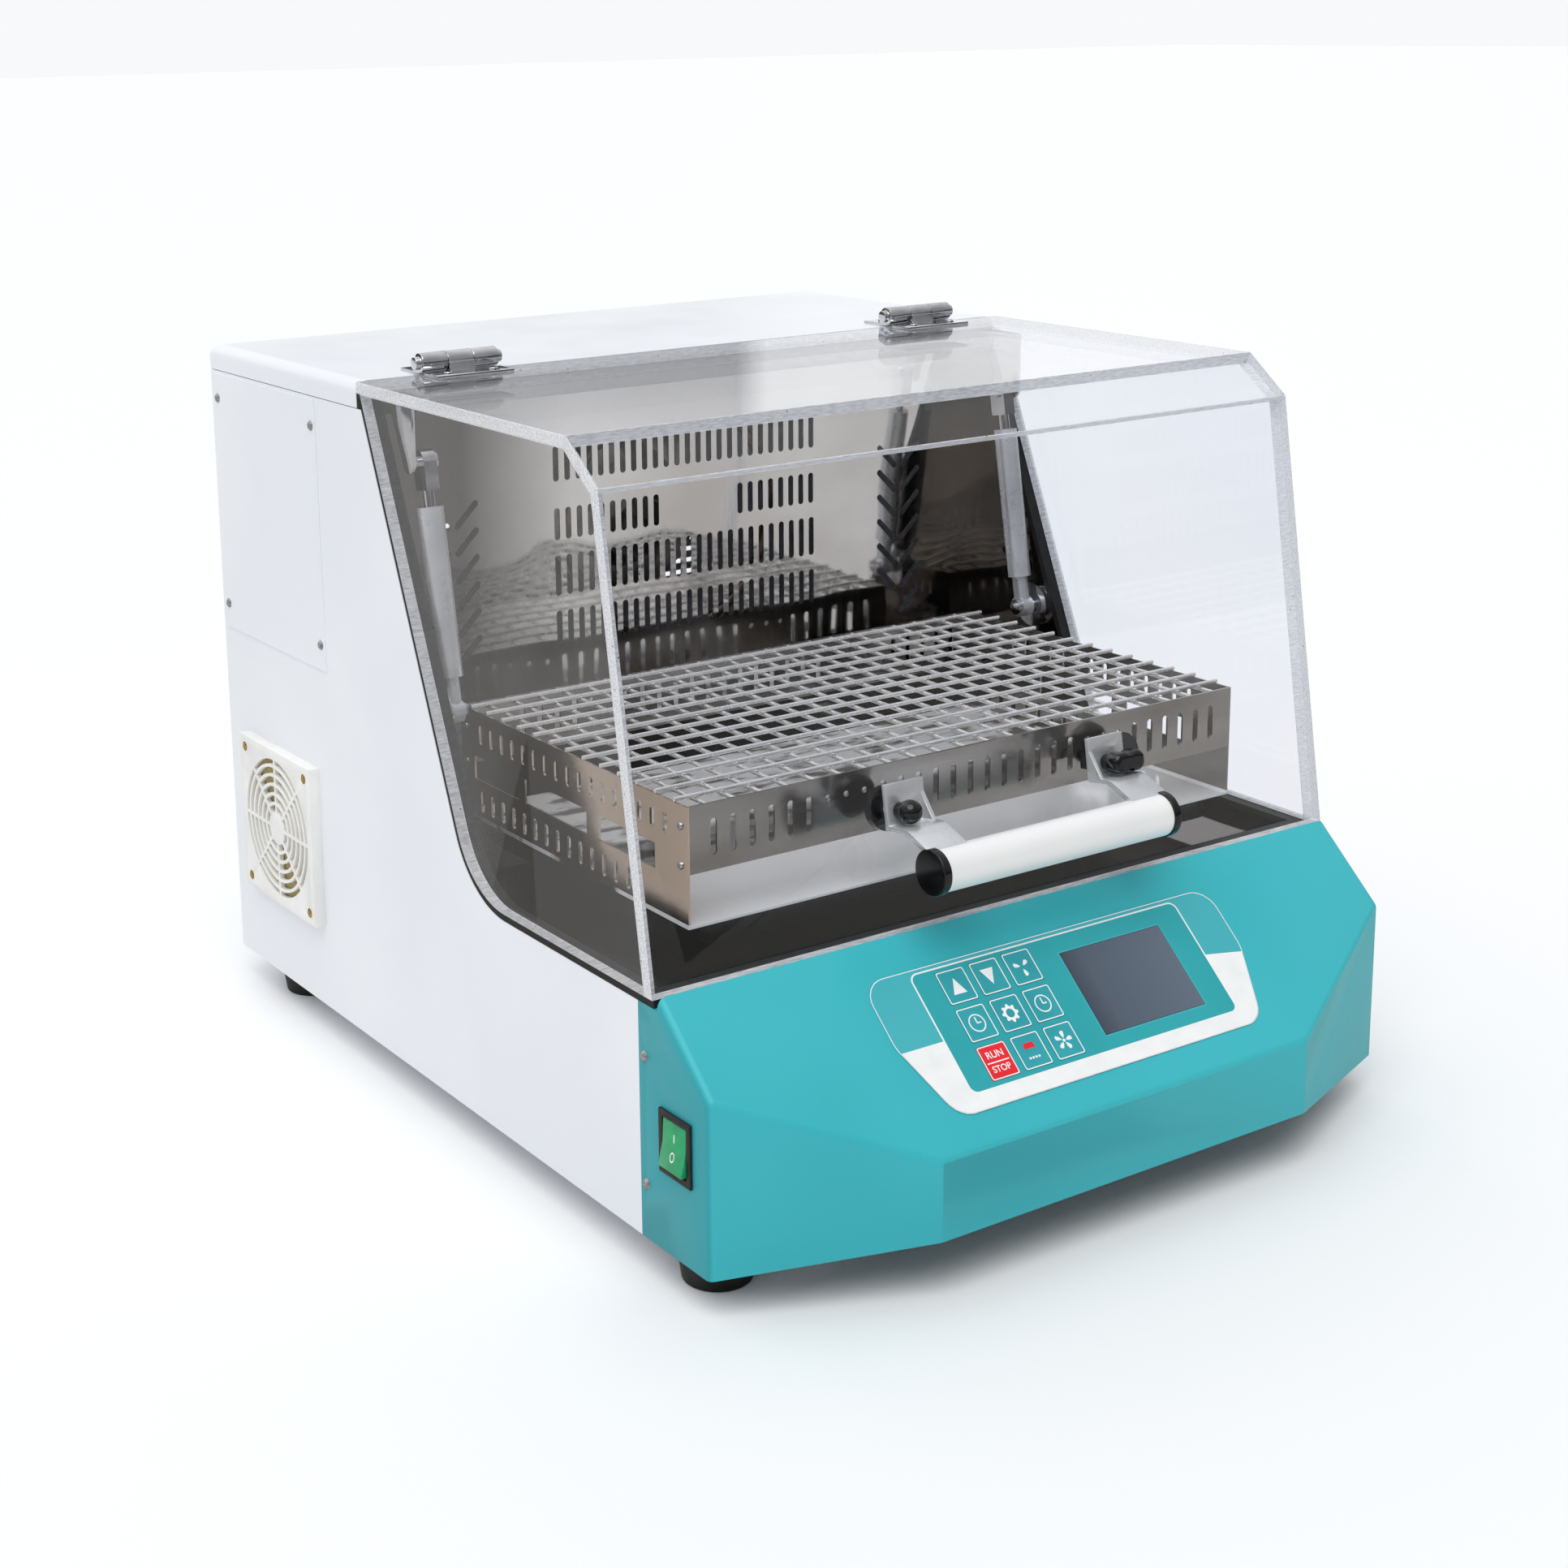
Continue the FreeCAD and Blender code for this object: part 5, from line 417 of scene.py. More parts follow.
def fitting_finishes():
    """Rubber, chrome, aluminium and screws."""
    made = {}

    # Extruded EPDM: matt black with a dusty bloom and fine extrusion lines.
    rubber, tree, shader, place = finish("extruded_epdm", Roughness=0.6)
    mottle(tree, shader, place, 120, "#0C0C0D", "#19191A")
    grain(tree, shader, place, 1200, 0.00005, 0.5)
    made["gasket_rubber"] = rubber

    # Moulded nitrile foot: black, slightly shiny, scuffed lighter at random.
    foot, tree, shader, place = finish("moulded_nitrile", Roughness=0.42)
    mottle(tree, shader, place, 50, "#0B0B0C", "#202022", 0.4, 0.75, 5)
    uneven_gloss(tree, shader, place, 70, 0.34, 0.6)
    grain(tree, shader, place, 900, 0.00006, 0.5)
    made["foot_rubber"] = foot

    # Chrome-plated zinc casting: near-mirror, very slightly pebbled.
    chrome, tree, shader, place = finish("chrome_plated_zinc", Metallic=1.0)
    mottle(tree, shader, place, 70, "#C9C9CC", "#DADADC")
    uneven_gloss(tree, shader, place, 120, 0.05, 0.14)
    grain(tree, shader, place, 500, 0.00003, 0.35)
    made["bright_chrome"] = chrome

    # Satin-anodised aluminium: pale silver with a very fine blasted tooth, soft broad highlight.
    satin, tree, shader, place = finish("satin_anodised_aluminium", Metallic=0.15)
    mottle(tree, shader, place, 20, "#FAFBFB", "#FFFFFE")
    uneven_gloss(tree, shader, place, 60, 0.3, 0.38)
    grain(tree, shader, place, 2400, 0.000008, 0.4)
    made["anodised"] = satin

    # Mill-finish aluminium strip: greyer and glossier than the tube, faintly streaked by rolling.
    strip, tree, shader, place = finish("mill_aluminium_strip", Metallic=0.6)
    mottle(tree, shader, place, 30, "#D2D4D7", "#E4E6E8")
    uneven_gloss(tree, shader, place, 90, 0.24, 0.36)
    grain(tree, shader, place, 1800, 0.00001, 0.4)
    made["mill_strip"] = strip

    # Yellow-passivated brass screws, with turned rings dulled by handling.
    brass, tree, shader, place = finish("passivated_brass", Metallic=1.0)
    mottle(tree, shader, place, 300, "#A9843F", "#D3B06A")
    uneven_gloss(tree, shader, place, 500, 0.18, 0.34)
    grain(tree, shader, place, 1800, 0.00004, 0.4)
    made["brass_screw"] = brass

    # Zinc-plated steel screws: grey, a little cloudy.
    zinc, tree, shader, place = finish("zinc_plated_steel", Metallic=1.0)
    mottle(tree, shader, place, 350, "#96979A", "#C2C3C6")
    uneven_gloss(tree, shader, place, 500, 0.2, 0.38)
    grain(tree, shader, place, 1800, 0.00004, 0.4)
    made["steel_screw"] = zinc
    return made


def panel_finishes():
    """Printed films and the display."""
    made = {}

    # Printed polyester overlay: teal ink matched to the cover, under a finely textured film.
    film, tree, shader, place = finish("printed_polyester_film", Roughness=0.36)
    mottle(tree, shader, place, 9, "#3FB4BE", "#48BAC4")
    grain(tree, shader, place, 2600, 0.00001, 0.6)
    made["overlay_film"] = film

    # The field round the keys and the display: the same film over a deeper, purer teal.
    deep, tree, shader, place = finish("deep_teal_printed_film", Roughness=0.34)
    mottle(tree, shader, place, 9, "#20A5AD", "#2AADB5")
    grain(tree, shader, place, 2600, 0.00001, 0.6)
    made["field_ink"] = deep

    # Key caps under the same film.
    key, tree, shader, place = finish("printed_key_film", Roughness=0.34)
    mottle(tree, shader, place, 25, "#239FA9", "#2EA9B3")
    grain(tree, shader, place, 2600, 0.00001, 0.6)
    made["key_film"] = key

    # Red run key: the same film over signal-red ink.
    red, tree, shader, place = finish("printed_red_film", Roughness=0.34)
    mottle(tree, shader, place, 25, "#EC1626", "#F7202F")
    grain(tree, shader, place, 2600, 0.00001, 0.6)
    made["red_key"] = red

    # Display: slate glass over a dark panel, its tone darkened towards its left end as a painted
    # reflection; below the glass the same node is a green glass-fibre board, told apart by height
    # above the panel.
    slate, tree, shader, place = finish("slate_display_glass", Roughness=0.12)
    tilt = panel_matrix().to_3x3().inverted().to_euler()
    flat = add(tree, "Mapping", {"Vector": place, "Rotation": tilt})
    out = add(tree, "SeparateXYZ", {0: flat.outputs["Vector"]})
    level = (panel_matrix().to_3x3().inverted() @ panel_matrix().translation).z
    above = add(tree, "Math", {0: out.outputs["Z"], 1: level - 3 * MM}, operation="GREATER_THAN")
    # Painted reflection: the glass is darkest at its left end and lightens to the right.
    painted_reflection_fade = add(tree, "MapRange", {0: out.outputs["X"], 1: 0.0, 2: 0.1, 3: 0.0, 4: 1.0})
    glass = add(tree, "ValToRGB", {0: painted_reflection_fade.outputs[0]}, stops=((0.0, "#2F3947"), (0.25, "#525E6D"),
                                                                (1.0, "#636F7F")))
    weave = add(tree, "TexNoise", {"Vector": place, "Scale": 700, "Detail": 2})
    board = add(tree, "ValToRGB", {0: weave.outputs["Fac"]},
                stops=((0.3, "#0E4A2A"), (0.7, "#1C6B3F")))
    pick = add(tree, "Mix", {0: above.outputs[0], 6: board.outputs[0], 7: glass.outputs[0]},
               data_type="RGBA")
    tree.links.new(pick.outputs[2], shader.inputs["Base Color"])
    made["display_slate"] = slate
    return made


def drive_finishes():
    """What stands inside the cabinet."""
    made = {}

    # Turned and ground shafting: bright steel with rings and a light oil film.
    ground, tree, shader, place = finish("ground_steel", Metallic=1.0)
    ringed = add(tree, "Mapping", {"Vector": place, "Scale": (1, 1, 40)}).outputs["Vector"]
    mottle(tree, shader, ringed, 14, "#9A999A", "#C3C2C2")
    uneven_gloss(tree, shader, ringed, 20, 0.14, 0.3)
    grain(tree, shader, place, 1800, 0.00001, 0.5)
    made["machined_steel"] = ground

    # Sand-cast aluminium plate: dull grey, coarse sand grain.
    cast, tree, shader, place = finish("sand_cast_aluminium", Metallic=1.0)
    mottle(tree, shader, place, 60, "#83858A", "#A6A8AB")
    uneven_gloss(tree, shader, place, 200, 0.45, 0.65)
    grain(tree, shader, place, 700, 0.0002, 0.6, detail=5)
    made["cast_plate"] = cast

    # Motor can: deep-drawn steel, black-grey phosphate.
    can, tree, shader, place = finish("phosphated_steel", Metallic=0.85)
    mottle(tree, shader, place, 80, "#3A3C3F", "#55575A")
    uneven_gloss(tree, shader, place, 90, 0.35, 0.5)
    grain(tree, shader, place, 1200, 0.00003, 0.5)
    made["motor_steel"] = can

    # Neoprene belt: black, fabric-faced.
    belt, tree, shader, place = finish("neoprene_belt", Roughness=0.7)
    mottle(tree, shader, place, 500, "#121212", "#242424")
    grain(tree, shader, place, 1400, 0.00008, 0.7)
    made["belt_rubber"] = belt

    # Heater sheath: stainless tube with straw and blue heat tint.
    sheath, tree, shader, place = finish("heat_tinted_stainless", Metallic=1.0, Roughness=0.32)
    mottle(tree, shader, place, 22, "#6F6A66", "#A18A66")
    grain(tree, shader, place, 900, 0.00003, 0.5)
    made["heater_sheath"] = sheath
    return made


def switch_finishes():
    """The rocker, and the ink of every printed mark."""
    made = {}

    # Green polycarbonate rocker, glossy and slightly deep.
    green, tree, shader, place = finish("green_polycarbonate", Roughness=0.2, Subsurface_Weight=0.15,
                                        Subsurface_Scale=0.004, Coat_Weight=0.3)
    mottle(tree, shader, place, 80, "#0E9A5E", "#18AB6C")
    uneven_gloss(tree, shader, place, 120, 0.16, 0.26)
    made["rocker_green"] = green

    # Screen-printed white ink: matt, a little uneven in cover.
    ink, tree, shader, place = finish("white_screen_ink", Roughness=0.5)
    mottle(tree, shader, place, 60, "#F4F6F6", "#FCFDFD")
    grain(tree, shader, place, 2600, 0.00001, 0.5)
    made["white_ink"] = ink
    return made


def make_finishes():
    """Every finish on the machine, by slot name."""
    made = {}
    for family in (cabinet_finishes, steel_finishes, hood_finishes, fitting_finishes, panel_finishes,
                   drive_finishes, switch_finishes):
        made.update(family())
    return made


# ---------------------------------------------------------------- places

def panel_matrix():
    """Flat drawing to sloping panel: X across, Y up the slope, Z out, zero at the lip's middle."""
    inward = next(Vector(joint["axis"]) for joint in frame["joints"]
                  if joint["name"] == "key_up_press")
    normal = -inward.normalized()
    across = Vector((1, 0, 0))
    uphill = normal.cross(across)
    low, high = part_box("control_overlay")
    middle = (low[0] + high[0]) / 2
    lip = (Vector((middle, low[1], low[2])) - Vector((0, normal.y, 0)) * FILM * MM
           + uphill * OVERLAY_FOOT * MM)
    matrix = Matrix((across, uphill, normal)).transposed().to_4x4()
    matrix.translation = lip
    return matrix


def dress(name, slot):
    """Gives a CAD node its finish."""
    for place in nodes[name].material_slots:
        place.material = FINISHES[slot]


def alone(piece):
    """Only this piece is selected and active."""
    bpy.ops.object.select_all(action="DESELECT")
    piece.select_set(True)
    bpy.context.view_layer.objects.active = piece
    return piece


def copy_of(name, new_name):
    """The node's shape as a new piece with its own merged mesh, flats dissolved to single faces."""
    piece = bpy.data.objects.new(new_name, nodes[name].data.copy())
    bpy.context.scene.collection.objects.link(piece)
    alone(piece)
    bpy.ops.object.mode_set(mode="EDIT")
    bpy.ops.mesh.select_all(action="SELECT")
    bpy.ops.mesh.remove_doubles(threshold=0.002 * MM)
    bpy.ops.mesh.dissolve_limited(angle_limit=math.radians(0.5))
    bpy.ops.object.mode_set(mode="OBJECT")
    return piece


def soften(piece, width, steps=2, least=25):
    """Rounds every arris sharper than the least angle in degrees."""
    alone(piece)
    bevel = piece.modifiers.new("arris", "BEVEL")
    bevel.width = width
    bevel.segments = steps
    bevel.limit_method = "ANGLE"
    bevel.angle_limit = math.radians(least)
    bevel.use_clamp_overlap = True
    bevel.harden_normals = False
    bpy.ops.object.modifier_apply(modifier="arris")
    bpy.ops.object.shade_smooth_by_angle(angle=math.radians(32))
    return piece


def settle(piece, slot, body="cabinet"):
    """Finishes a piece: its place goes into its mesh, and it takes its finish, slot and body."""
    alone(piece)
    bpy.ops.object.transform_apply(location=True, rotation=True, scale=True)
    if not piece.data.materials:
        piece.data.materials.append(FINISHES[slot])
    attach(piece, body)
    return piece


# The printed panel, in mm: thickness of the film, height of the key caps above the panel,
# thickness of the ink, and how far down the slope the overlay's foot lies from the lip.
FILM, KEY_TOP, INK = 0.6, 0.9, 0.05
OVERLAY_FOOT = 125

set_camera()
set_studio()
FINISHES = make_finishes()


# ---------------------------------------------------------------- hood

def make_hood_sheets():
    """Each sheet with clear faces, and pale rims, partly a painted highlight, with a 0.4 mm arris."""
    for name in ("hood_top", "hood_chamfer", "hood_front", "hood_sides"):
        sheet = soften(copy_of(name, name + "_sheet"), 0.4 * MM, 1)
        sheet.data.materials.clear()
        sheet.data.materials.append(FINISHES["acrylic"])
        sheet.data.materials.append(FINISHES["acrylic_rim"])
        broad = max(sheet.data.polygons, key=lambda face: face.area).normal.copy()
        for face in sheet.data.polygons:
            face.material_index = 0 if abs(face.normal.dot(broad)) > 0.999 else 1
        settle(sheet, "acrylic", "hood")
        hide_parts(name)


# ---------------------------------------------------------------- control panel

def rounded(corners, radius, steps=6):
    """The outline through the corners, each rounded. radius is one length or one per corner."""
    outline = []
    count = len(corners)
    for index, corner in enumerate(corners):
        here = Vector(corner)
        before = (Vector(corners[index - 1]) - here).normalized()
        after = (Vector(corners[(index + 1) % count]) - here).normalized()
        arc = radius[index] if isinstance(radius, (list, tuple)) else radius
        half = before.angle(after) / 2
        centre = here + (before + after).normalized() * arc / math.sin(half)
        first = here + before * arc / math.tan(half) - centre
        last = here + after * arc / math.tan(half) - centre
        for step in range(steps + 1):
            way = first.lerp(last, step / steps).normalized() * arc
            outline.append(tuple(centre + way))
    return outline


def rectangle(left, right, top, foot):
    """Corners of a panel rectangle. top and foot are distances down the slope from the lip."""
    return [(left, -foot), (right, -foot), (right, -top), (left, -top)]


def ring_of(centre, radius, count=28, start=0.0):
    """Points round a circle."""
    return [(centre[0] + radius * math.cos(start + math.tau * step / count),
             centre[1] + radius * math.sin(start + math.tau * step / count)) for step in range(count)]


def drawn(name, loops, low, high, sheet=None):
    """A flat printed shape, in mm: loops inside loops are holes. low, high above its sheet."""
    curve = bpy.data.curves.new(name, "CURVE")
    curve.dimensions = "2D"
    curve.fill_mode = "BOTH"
    curve.extrude = (high - low) / 2 * MM
    for loop in loops:
        line = curve.splines.new("POLY")
        line.points.add(len(loop) - 1)
        for point, (across, up) in zip(line.points, loop):
            point.co = (across * MM, up * MM, 0, 1)
        line.use_cyclic_u = True
    piece = bpy.data.objects.new(name, curve)
    bpy.context.scene.collection.objects.link(piece)
    alone(piece)
    bpy.ops.object.convert(target="MESH")
    piece = bpy.context.object
    piece.matrix_world = (sheet or panel_matrix()) @ Matrix.Translation((0, 0, (low + high) / 2 * MM))
    return piece


def lettered(name, words, size, centre, low, high):
    """Plain generic lettering on the panel, in mm."""
    bpy.ops.object.select_all(action="DESELECT")
    bpy.ops.object.text_add()
    piece = bpy.context.object
    piece.name = name
    piece.data.body = words
    piece.data.size = size * MM
    piece.data.align_x = "CENTER"
    piece.data.align_y = "CENTER"
    piece.data.extrude = (high - low) / 2 * MM
    piece.data.offset = 0.012 * size * MM
    bpy.ops.object.convert(target="MESH")
    piece = bpy.context.object
    piece.matrix_world = panel_matrix() @ Matrix.Translation(
        (centre[0] * MM, centre[1] * MM, (low + high) / 2 * MM))
    return piece


# Keys by column and line, their pitch and size, and the first key's middle, in mm.
KEYS = {"key_up": (0, 0), "key_down": (1, 0), "key_light": (2, 0),
        "key_timer": (0, 1), "key_settings": (1, 1), "key_clock": (2, 1),
        "key_run_stop": (0, 2), "key_record": (1, 2), "key_fan": (2, 2)}
KEY_PITCH, KEY_WIDE, KEY_TALL = 27, 22, 23
FIRST_KEY = (-82, -44)

# Deeper field round the keys and the display, and the display's window: left, right, top, foot.
FIELD, FIELD_LINE = (-112, 115, 28.6, 114), 1.1
WINDOW = (3.7, 92.8, 41.2, 103.8)


def key_centre(name):
    """Middle of a key on the panel, in mm."""
    column, line = KEYS[name]
    return FIRST_KEY[0] + KEY_PITCH * column, FIRST_KEY[1] - KEY_PITCH * line


def key_outline(name, inset, radius):
    """Rounded outline of a key, drawn in by inset."""
    x, up = key_centre(name)
    wide, tall = KEY_WIDE / 2 - inset, KEY_TALL / 2 - inset
    return rounded([(x - wide, up - tall), (x + wide, up - tall), (x + wide, up + tall),
                    (x - wide, up + tall)], radius)


def clock_marks(x, up, face, thick):
    """Clock ring, hour hand and minute hand."""
    middle = (x, up)
    return [ring_of(middle, face), ring_of(middle, face - thick),
            [(x - thick / 2, up - thick / 2), (x + thick / 2, up - thick / 2),
             (x + thick / 2, up + face * 0.68), (x - thick / 2, up + face * 0.68)],
            [(x + thick * 0.6, up - thick / 2), (x + face * 0.5, up - thick / 2),
             (x + face * 0.5, up + thick / 2), (x + thick * 0.6, up + thick / 2)]]


def toothed(x, up, outer, root, teeth):
    """Outline with square teeth."""
    outline = []
    for step in range(teeth * 4):
        reach = outer if step % 4 in (0, 1) else root
        angle = math.tau * (step - 0.5) / (teeth * 4)
        outline.append((x + reach * math.cos(angle), up + reach * math.sin(angle)))
    return outline


def petals(x, up, reach, count, turn=0.0):
    """Fan blades: one leaf outline for each blade."""
    leaves = []
    for blade in range(count):
        angle = turn + math.tau * blade / count
        way = Vector((math.cos(angle), math.sin(angle)))
        aside = Vector((-way.y, way.x))
        spots = ((0.22, 0.0), (0.45, 0.2), (0.8, 0.34), (1.0, 0.16), (0.98, -0.08), (0.6, -0.12))
        leaves.append([tuple(Vector((x, up)) + way * reach * far + aside * reach * off)
                       for far, off in spots])
    return leaves


def print_field():
    """The overlay's outlines, white band and deeper field."""
    outer = [(-128, -OVERLAY_FOOT), (128, -OVERLAY_FOOT), (147, -72), (147, -26), (-147, -26),
             (-147, -72)]
    rounds = [18, 18, 30, 16, 16, 30]
    frame_line = rounded(outer, rounds)
    inner_line = rounded([(x * 0.9962, up + (0.55 if up < -100 else -0.55 if up > -50 else 0))
                          for x, up in outer], [value - 0.5 for value in rounds])
    settle(drawn("overlay_outline", [frame_line, inner_line], FILM, FILM + INK), "white_ink")
    left, right, top, foot = FIELD
    field_outer = rounded(rectangle(left, right, top, foot), 6)
    field_inner = rounded(rectangle(left + FIELD_LINE, right - FIELD_LINE, top + FIELD_LINE,
                                    foot - FIELD_LINE), 5)
    settle(drawn("field_outline", [field_outer, field_inner], FILM, FILM + INK), "white_ink")
    band = rounded([(-128, -OVERLAY_FOOT), (128, -OVERLAY_FOOT), (145.6, -76), (right, -71),
                    (right, -foot), (left, -foot), (left, -76), (-145.6, -76)],
                   [17.5, 17.5, 0.5, 0.5, 6, 6, 0.5, 0.5])
    settle(drawn("white_band", [band], FILM, FILM + INK), "white_ink")
    holes = [key_outline(name, -0.25, 1.2) for name in KEYS] + [rectangle(*WINDOW)]
    settle(drawn("field_ink", [field_inner] + holes, FILM, FILM + INK * 0.8), "field_ink")


def print_on_key(key, mark, loops, slot="white_ink"):
    """Ink on a key's cap, which moves with the key."""
    settle(drawn(mark, loops, KEY_TOP, KEY_TOP + INK), slot, key + "_button")


def print_keys():
    """A frame round every key, and a plain symbol on most."""
    for name in KEYS:
        edge = [key_outline(name, 0.1, 1.6), key_outline(name, 0.85, 1.1)]
        print_on_key(name, name + "_frame", edge)
    marks = {}
    for name, point in (("key_up", 1), ("key_down", -1)):
        x, up = key_centre(name)
        marks[name] = [[(x - 5.2, up - 5.6 * point), (x + 5.2, up - 5.6 * point),
                        (x, up + 5.6 * point)]]
    x, up = key_centre("key_light")
    marks["key_light"] = petals(x, up, 6.6, 3, 0.5)
    for name in ("key_timer", "key_clock"):
        marks[name] = clock_marks(*key_centre(name), 6.2, 0.9)
    x, up = key_centre("key_settings")
    marks["key_settings"] = [toothed(x, up, 6.4, 4.9, 8), ring_of((x, up), 3.1)]
    x, up = key_centre("key_fan")
    marks["key_fan"] = petals(x, up, 6.6, 5) + [ring_of((x, up), 1.1, 14)]
    for name, loops in marks.items():
        print_on_key(name, name + "_symbol", loops)


def print_words():
    """RUN over STOP on the red key, and a red label over a row of dashes on the record key."""
    x, up = key_centre("key_run_stop")
    for name, words, size, rise in (("run_word", "RUN", 6.6, 4.6), ("stop_word", "STOP", 6.0, -5.0)):
        word = lettered(name, words, size, (x, up + rise), KEY_TOP, KEY_TOP + INK)
        settle(word, "white_ink", "key_run_stop_button")
    bar = [(x - 8.6, up - 0.7), (x + 8.6, up - 0.7), (x + 8.6, up + 0.1), (x - 8.6, up + 0.1)]
    print_on_key("key_run_stop", "run_stop_bar", [bar])
    x, up = key_centre("key_record")
    label = rounded([(x - 4.4, up + 1.6), (x + 4.4, up + 1.6), (x + 3.8, up + 5.6),
                     (x - 3.8, up + 5.6)], 0.6)
    print_on_key("key_record", "record_label", [label], "red_key")
    dashes = [rectangle(x + start, x + start + 1.6, -up + 4.0, -up + 5.4)
              for start in (-4.4, -2.0, 0.4, 2.8)]
    print_on_key("key_record", "record_dashes", dashes)


def make_rocker_marks():
    """The generic on stroke and off ring, laid on the rocker's dished face."""
    rocker = nodes["power_rocker"]
    low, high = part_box("power_rocker")
    stroke = [(side * 0.5, up * side) for side in (-1, 1) for up in (2.6, 1.3, 0, -1.3, -2.6)]
    narrow = 0.72
    ring = [[(x * narrow, up) for x, up in ring_of((0, 0), radius)] for radius in (3.2, 2.3)]
    for name, share, loops in (("on_mark", 0.68, [stroke]), ("off_mark", 0.3, ring)):
        aim = Vector((low[0] - 0.1, (low[1] + high[1]) / 2, low[2] + (high[2] - low[2]) * share))
        _, spot, normal, _ = rocker.ray_cast(aim, Vector((1, 0, 0)))
        across = Vector((0, -1, 0))
        plane = Matrix((across, normal.cross(across), normal)).transposed().to_4x4()
        plane.translation = spot
        mark = alone(drawn(name, loops, 0, 0, plane))
        wrap = mark.modifiers.new("laid_on", "SHRINKWRAP")
        wrap.target = rocker
        wrap.wrap_mode = "ABOVE_SURFACE"
        wrap.offset = INK * MM
        bpy.ops.object.modifier_apply(modifier="laid_on")
        settle(mark, "white_ink", "rocker")


# ---------------------------------------------------------------- small screws

def screw_master(radius, height):
    """A domed screw head with a cross recess, standing on its zero plane."""
    bpy.ops.object.select_all(action="DESELECT")
    bpy.ops.mesh.primitive_cylinder_add(vertices=24, radius=radius, depth=height,
                                        location=(0, 0, height / 2))
    head = bpy.context.object
    bpy.ops.object.transform_apply(location=True, rotation=True, scale=True)
    bpy.ops.object.mode_set(mode="EDIT")
    bpy.ops.mesh.select_all(action="DESELECT")
    bpy.ops.object.mode_set(mode="OBJECT")
    for edge in head.data.edges:
        edge.select = all(head.data.vertices[index].co.z > height * 0.9 for index in edge.vertices)
    bpy.ops.object.mode_set(mode="EDIT")
    bpy.ops.mesh.bevel(offset=min(height, radius) * 0.6, segments=4, affect="EDGES")
    bpy.ops.object.mode_set(mode="OBJECT")
    for turned in (False, True):
        bpy.ops.object.select_all(action="DESELECT")
        size = (radius * 0.28, radius * 1.15, height * 0.9)
        bpy.ops.mesh.primitive_cube_add(size=1, location=(0, 0, height), scale=size)
        slot = bpy.context.object
        slot.rotation_euler.z = math.radians(110 if turned else 20)
        alone(slot)
        bpy.ops.object.transform_apply(location=True, rotation=True, scale=True)
        alone(head)
        recess = head.modifiers.new("recess", "BOOLEAN")
        recess.operation = "DIFFERENCE"
        recess.object = slot
        bpy.ops.object.modifier_apply(modifier="recess")
        bpy.data.objects.remove(slot)
    alone(head)
    bpy.ops.object.shade_smooth_by_angle(angle=math.radians(32))
    return head


def make_screws():
    """Leaf screws on the hood hinges and dome screws at the four upright edges of the tray's ends."""
    leaf_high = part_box("hinge_fixed_leaves")[1]
    hood_low, hood_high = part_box("hinge_moving_leaves")
    leaf_wide, leaf_thick, inset = 60 * MM, 2 * MM, 8 * MM
    sheet_top = hood_low[2] + leaf_thick
    spots = []
    for left in (hood_low[0], hood_high[0] - leaf_wide):
        for share in (0.2, 0.8):
            across = left + leaf_wide * share
            spots.append(("moving_leaf_screw", (across, hood_low[1] + inset, sheet_top), "Z",
                          "hood"))
            spots.append(("fixed_leaf_screw", (across, leaf_high[1] - inset, sheet_top), "Z",
                          "cabinet"))
    tray_low, tray_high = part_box("tray_frame")
    edge = 7.5 * MM
    for drop in (13.5 * MM, 39 * MM):
        for y in (tray_low[1] + edge, tray_high[1] - edge):
            height = tray_high[2] - drop
            spots.append(("tray_screw", (tray_low[0], y, height), "-X", "tray"))
            spots.append(("tray_screw", (tray_high[0], y, height), "X", "tray"))
    masters = {"tray_screw": screw_master(2.6 * MM, 1.5 * MM),
               "leaf": screw_master(3.0 * MM, 1.4 * MM)}
    turns = {"Z": Matrix.Identity(4), "X": Matrix.Rotation(math.radians(90), 4, "Y"),
             "-X": Matrix.Rotation(math.radians(-90), 4, "Y")}
    for index, (name, spot, way, body) in enumerate(spots):
        master = masters["tray_screw" if name == "tray_screw" else "leaf"]
        screw = bpy.data.objects.new("%s_%d" % (name, index + 1), master.data.copy())
        bpy.context.scene.collection.objects.link(screw)
        screw.matrix_world = Matrix.Translation(spot) @ turns[way]
        settle(screw, "bright_chrome", body)
    for master in masters.values():
        bpy.data.objects.remove(master)


# ---------------------------------------------------------------- edges that catch the light

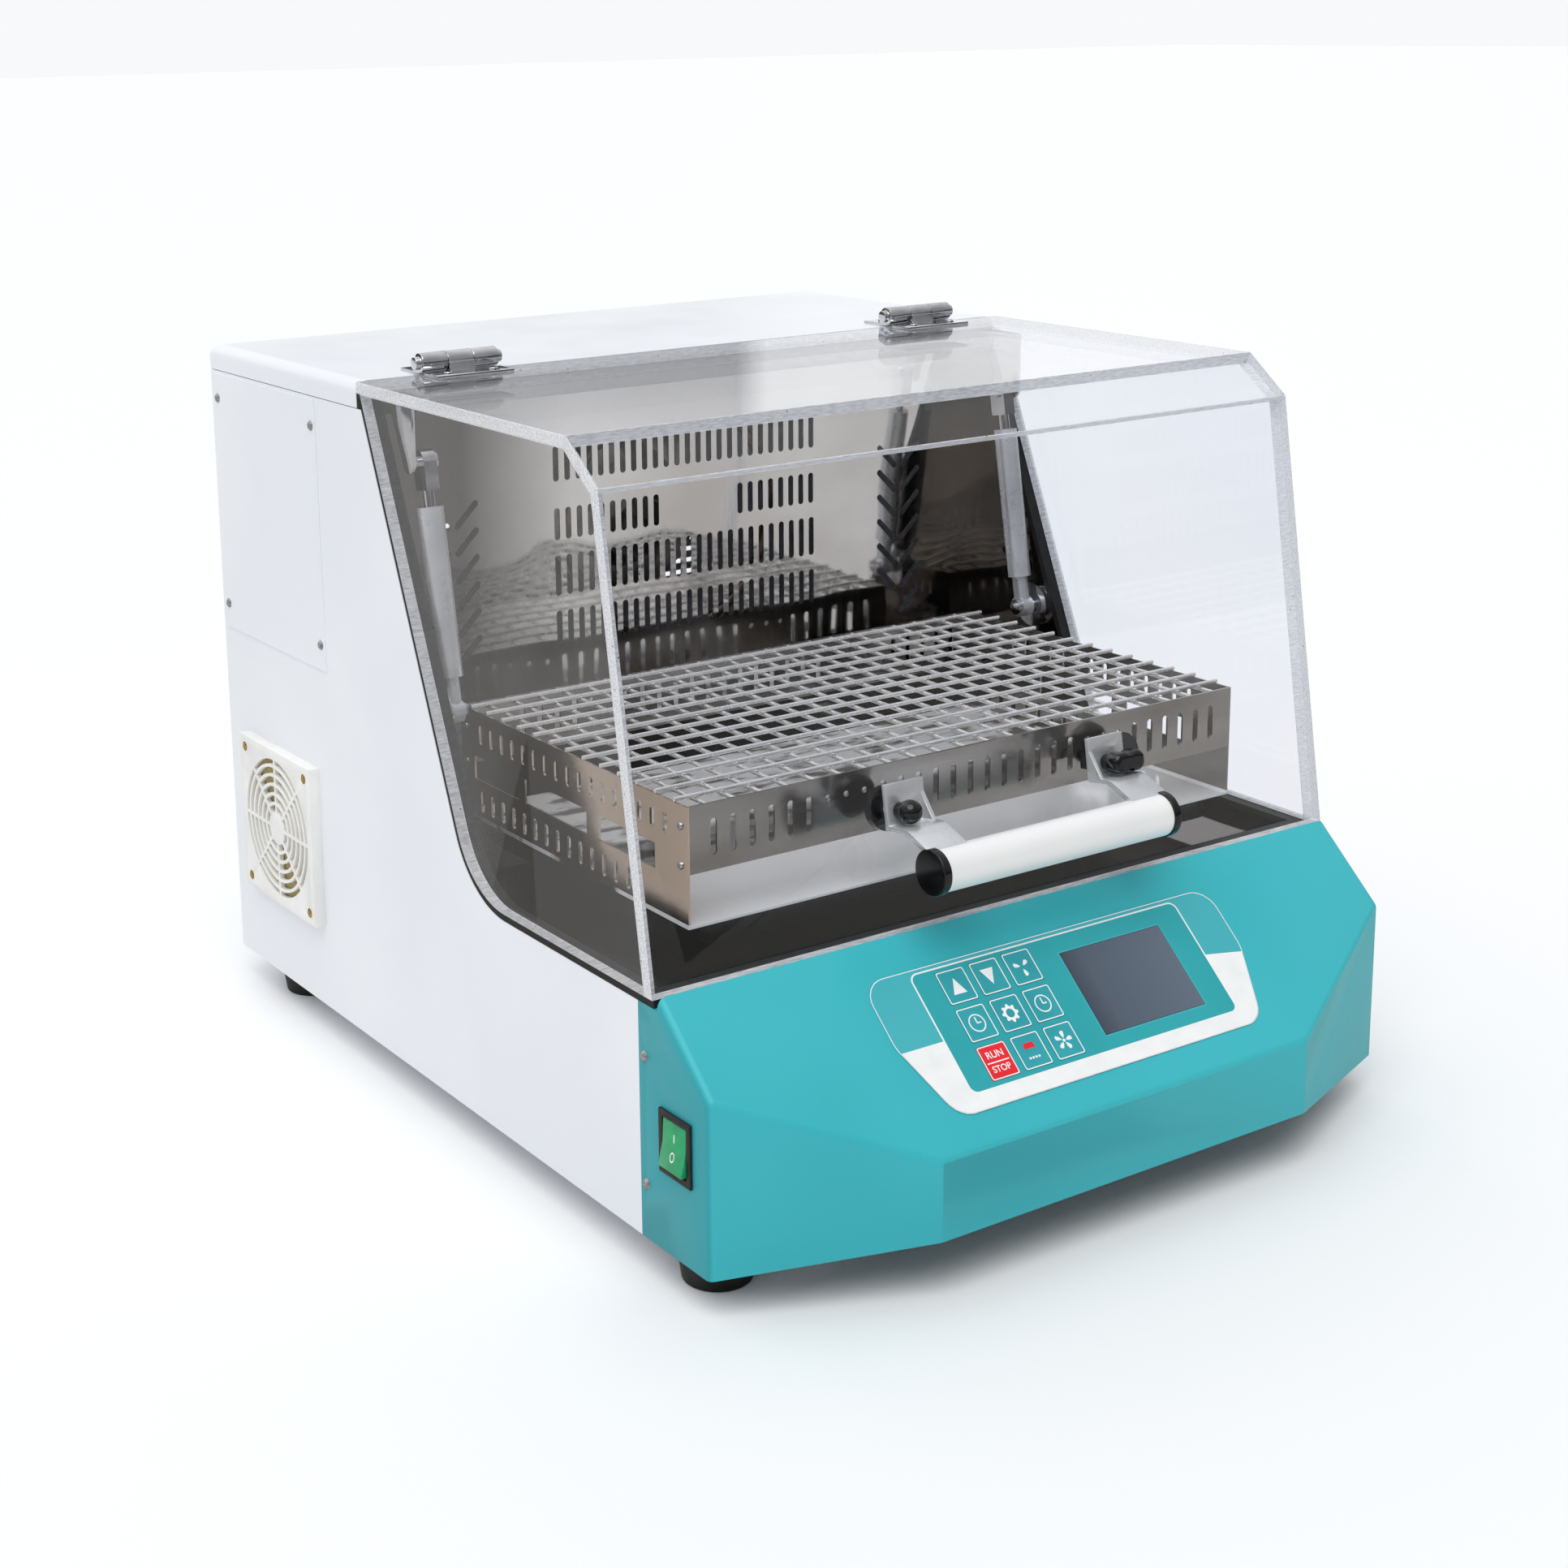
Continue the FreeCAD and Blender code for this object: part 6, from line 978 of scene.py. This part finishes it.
# Node: its slot, the width of its rounding in mm, the rounding's steps and its body.
ROUNDED = {
    "front_cover": ("teal_moulding", 1.6, 3, "cabinet"),
    "fan_guard": ("guard_plastic", 0.5, 2, "cabinet"),
    "rocker_bezel": ("black_plastic", 0.6, 2, "cabinet"),
    "power_rocker": ("rocker_green", 0.5, 2, "rocker"),
    "handle_end_caps": ("gloss_black", 0.8, 3, "hood"),
    "handle_brackets": ("mill_strip", 0.35, 2, "hood"),
    "hinge_fixed_leaves": ("bright_chrome", 0.5, 2, "cabinet"),
    "hinge_moving_leaves": ("bright_chrome", 0.5, 2, "hood"),
    "hood_brackets": ("bright_chrome", 0.4, 2, "hood"),
    "feet": ("foot_rubber", 1.2, 3, "cabinet"),
}


def make_rounded():
    """Pieces whose moulded or deburred edges are seen: the node's shape with softened arrises."""
    for name, (slot, width, steps, body) in ROUNDED.items():
        piece = soften(copy_of(name, name + "_softened"), width * MM, steps)
        piece.data.materials.clear()
        piece.data.materials.append(FINISHES[slot])
        settle(piece, slot, body)
        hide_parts(name)


# ---------------------------------------------------------------- dressing

SLOTS = {
    "white_paint": "base_pan side_panel_left side_panel_right top_cover rear_panel access_panel",
    "teal_moulding": "front_cover", "guard_plastic": "fan_guard", "filter_mat": "fan_filter",
    "black_plastic": "fan_frame fan_rotor rocker_bezel power_inlet",
    "gloss_black": "handle_end_caps knob_left knob_right shaker_platform",
    # The chamber's sides and floor take the mirror steel darkened as painted shade.
    "mirror_steel": "chamber_rear_wall", "shade_painted_steel": "chamber_sides chamber_floor",
    "stainless": "tray_frame blower_wheel", "wire": "tray_wires",
    "acrylic": "hood_top hood_chamfer hood_front hood_sides",
    "gasket_rubber": "lid_gasket", "foot_rubber": "feet",
    "bright_chrome": "hinge_fixed_leaves hinge_moving_leaves gas_spring_rods spring_wall_mounts"
                     " hood_brackets",
    "anodised": "handle_tube", "mill_strip": "gas_spring_tubes handle_brackets",
    "brass_screw": "fan_guard_screws", "steel_screw": "case_screws",
    "overlay_film": "control_overlay",
    "key_film": "key_up key_down key_light key_timer key_settings key_clock key_record key_fan",
    "red_key": "key_run_stop", "display_slate": "display_board",
    "machined_steel": "eccentric_shaft_drive eccentric_shaft_left eccentric_shaft_right motor_pulley",
    "cast_plate": "bearing_plate", "motor_steel": "drive_motor blower_motor",
    "belt_rubber": "drive_belt", "heater_sheath": "heater", "rocker_green": "power_rocker",
}
for slot, names in SLOTS.items():
    for name in names.split():
        dress(name, slot)

make_hood_sheets()
print_field()
print_keys()
print_words()
make_rocker_marks()
make_screws()
make_rounded()
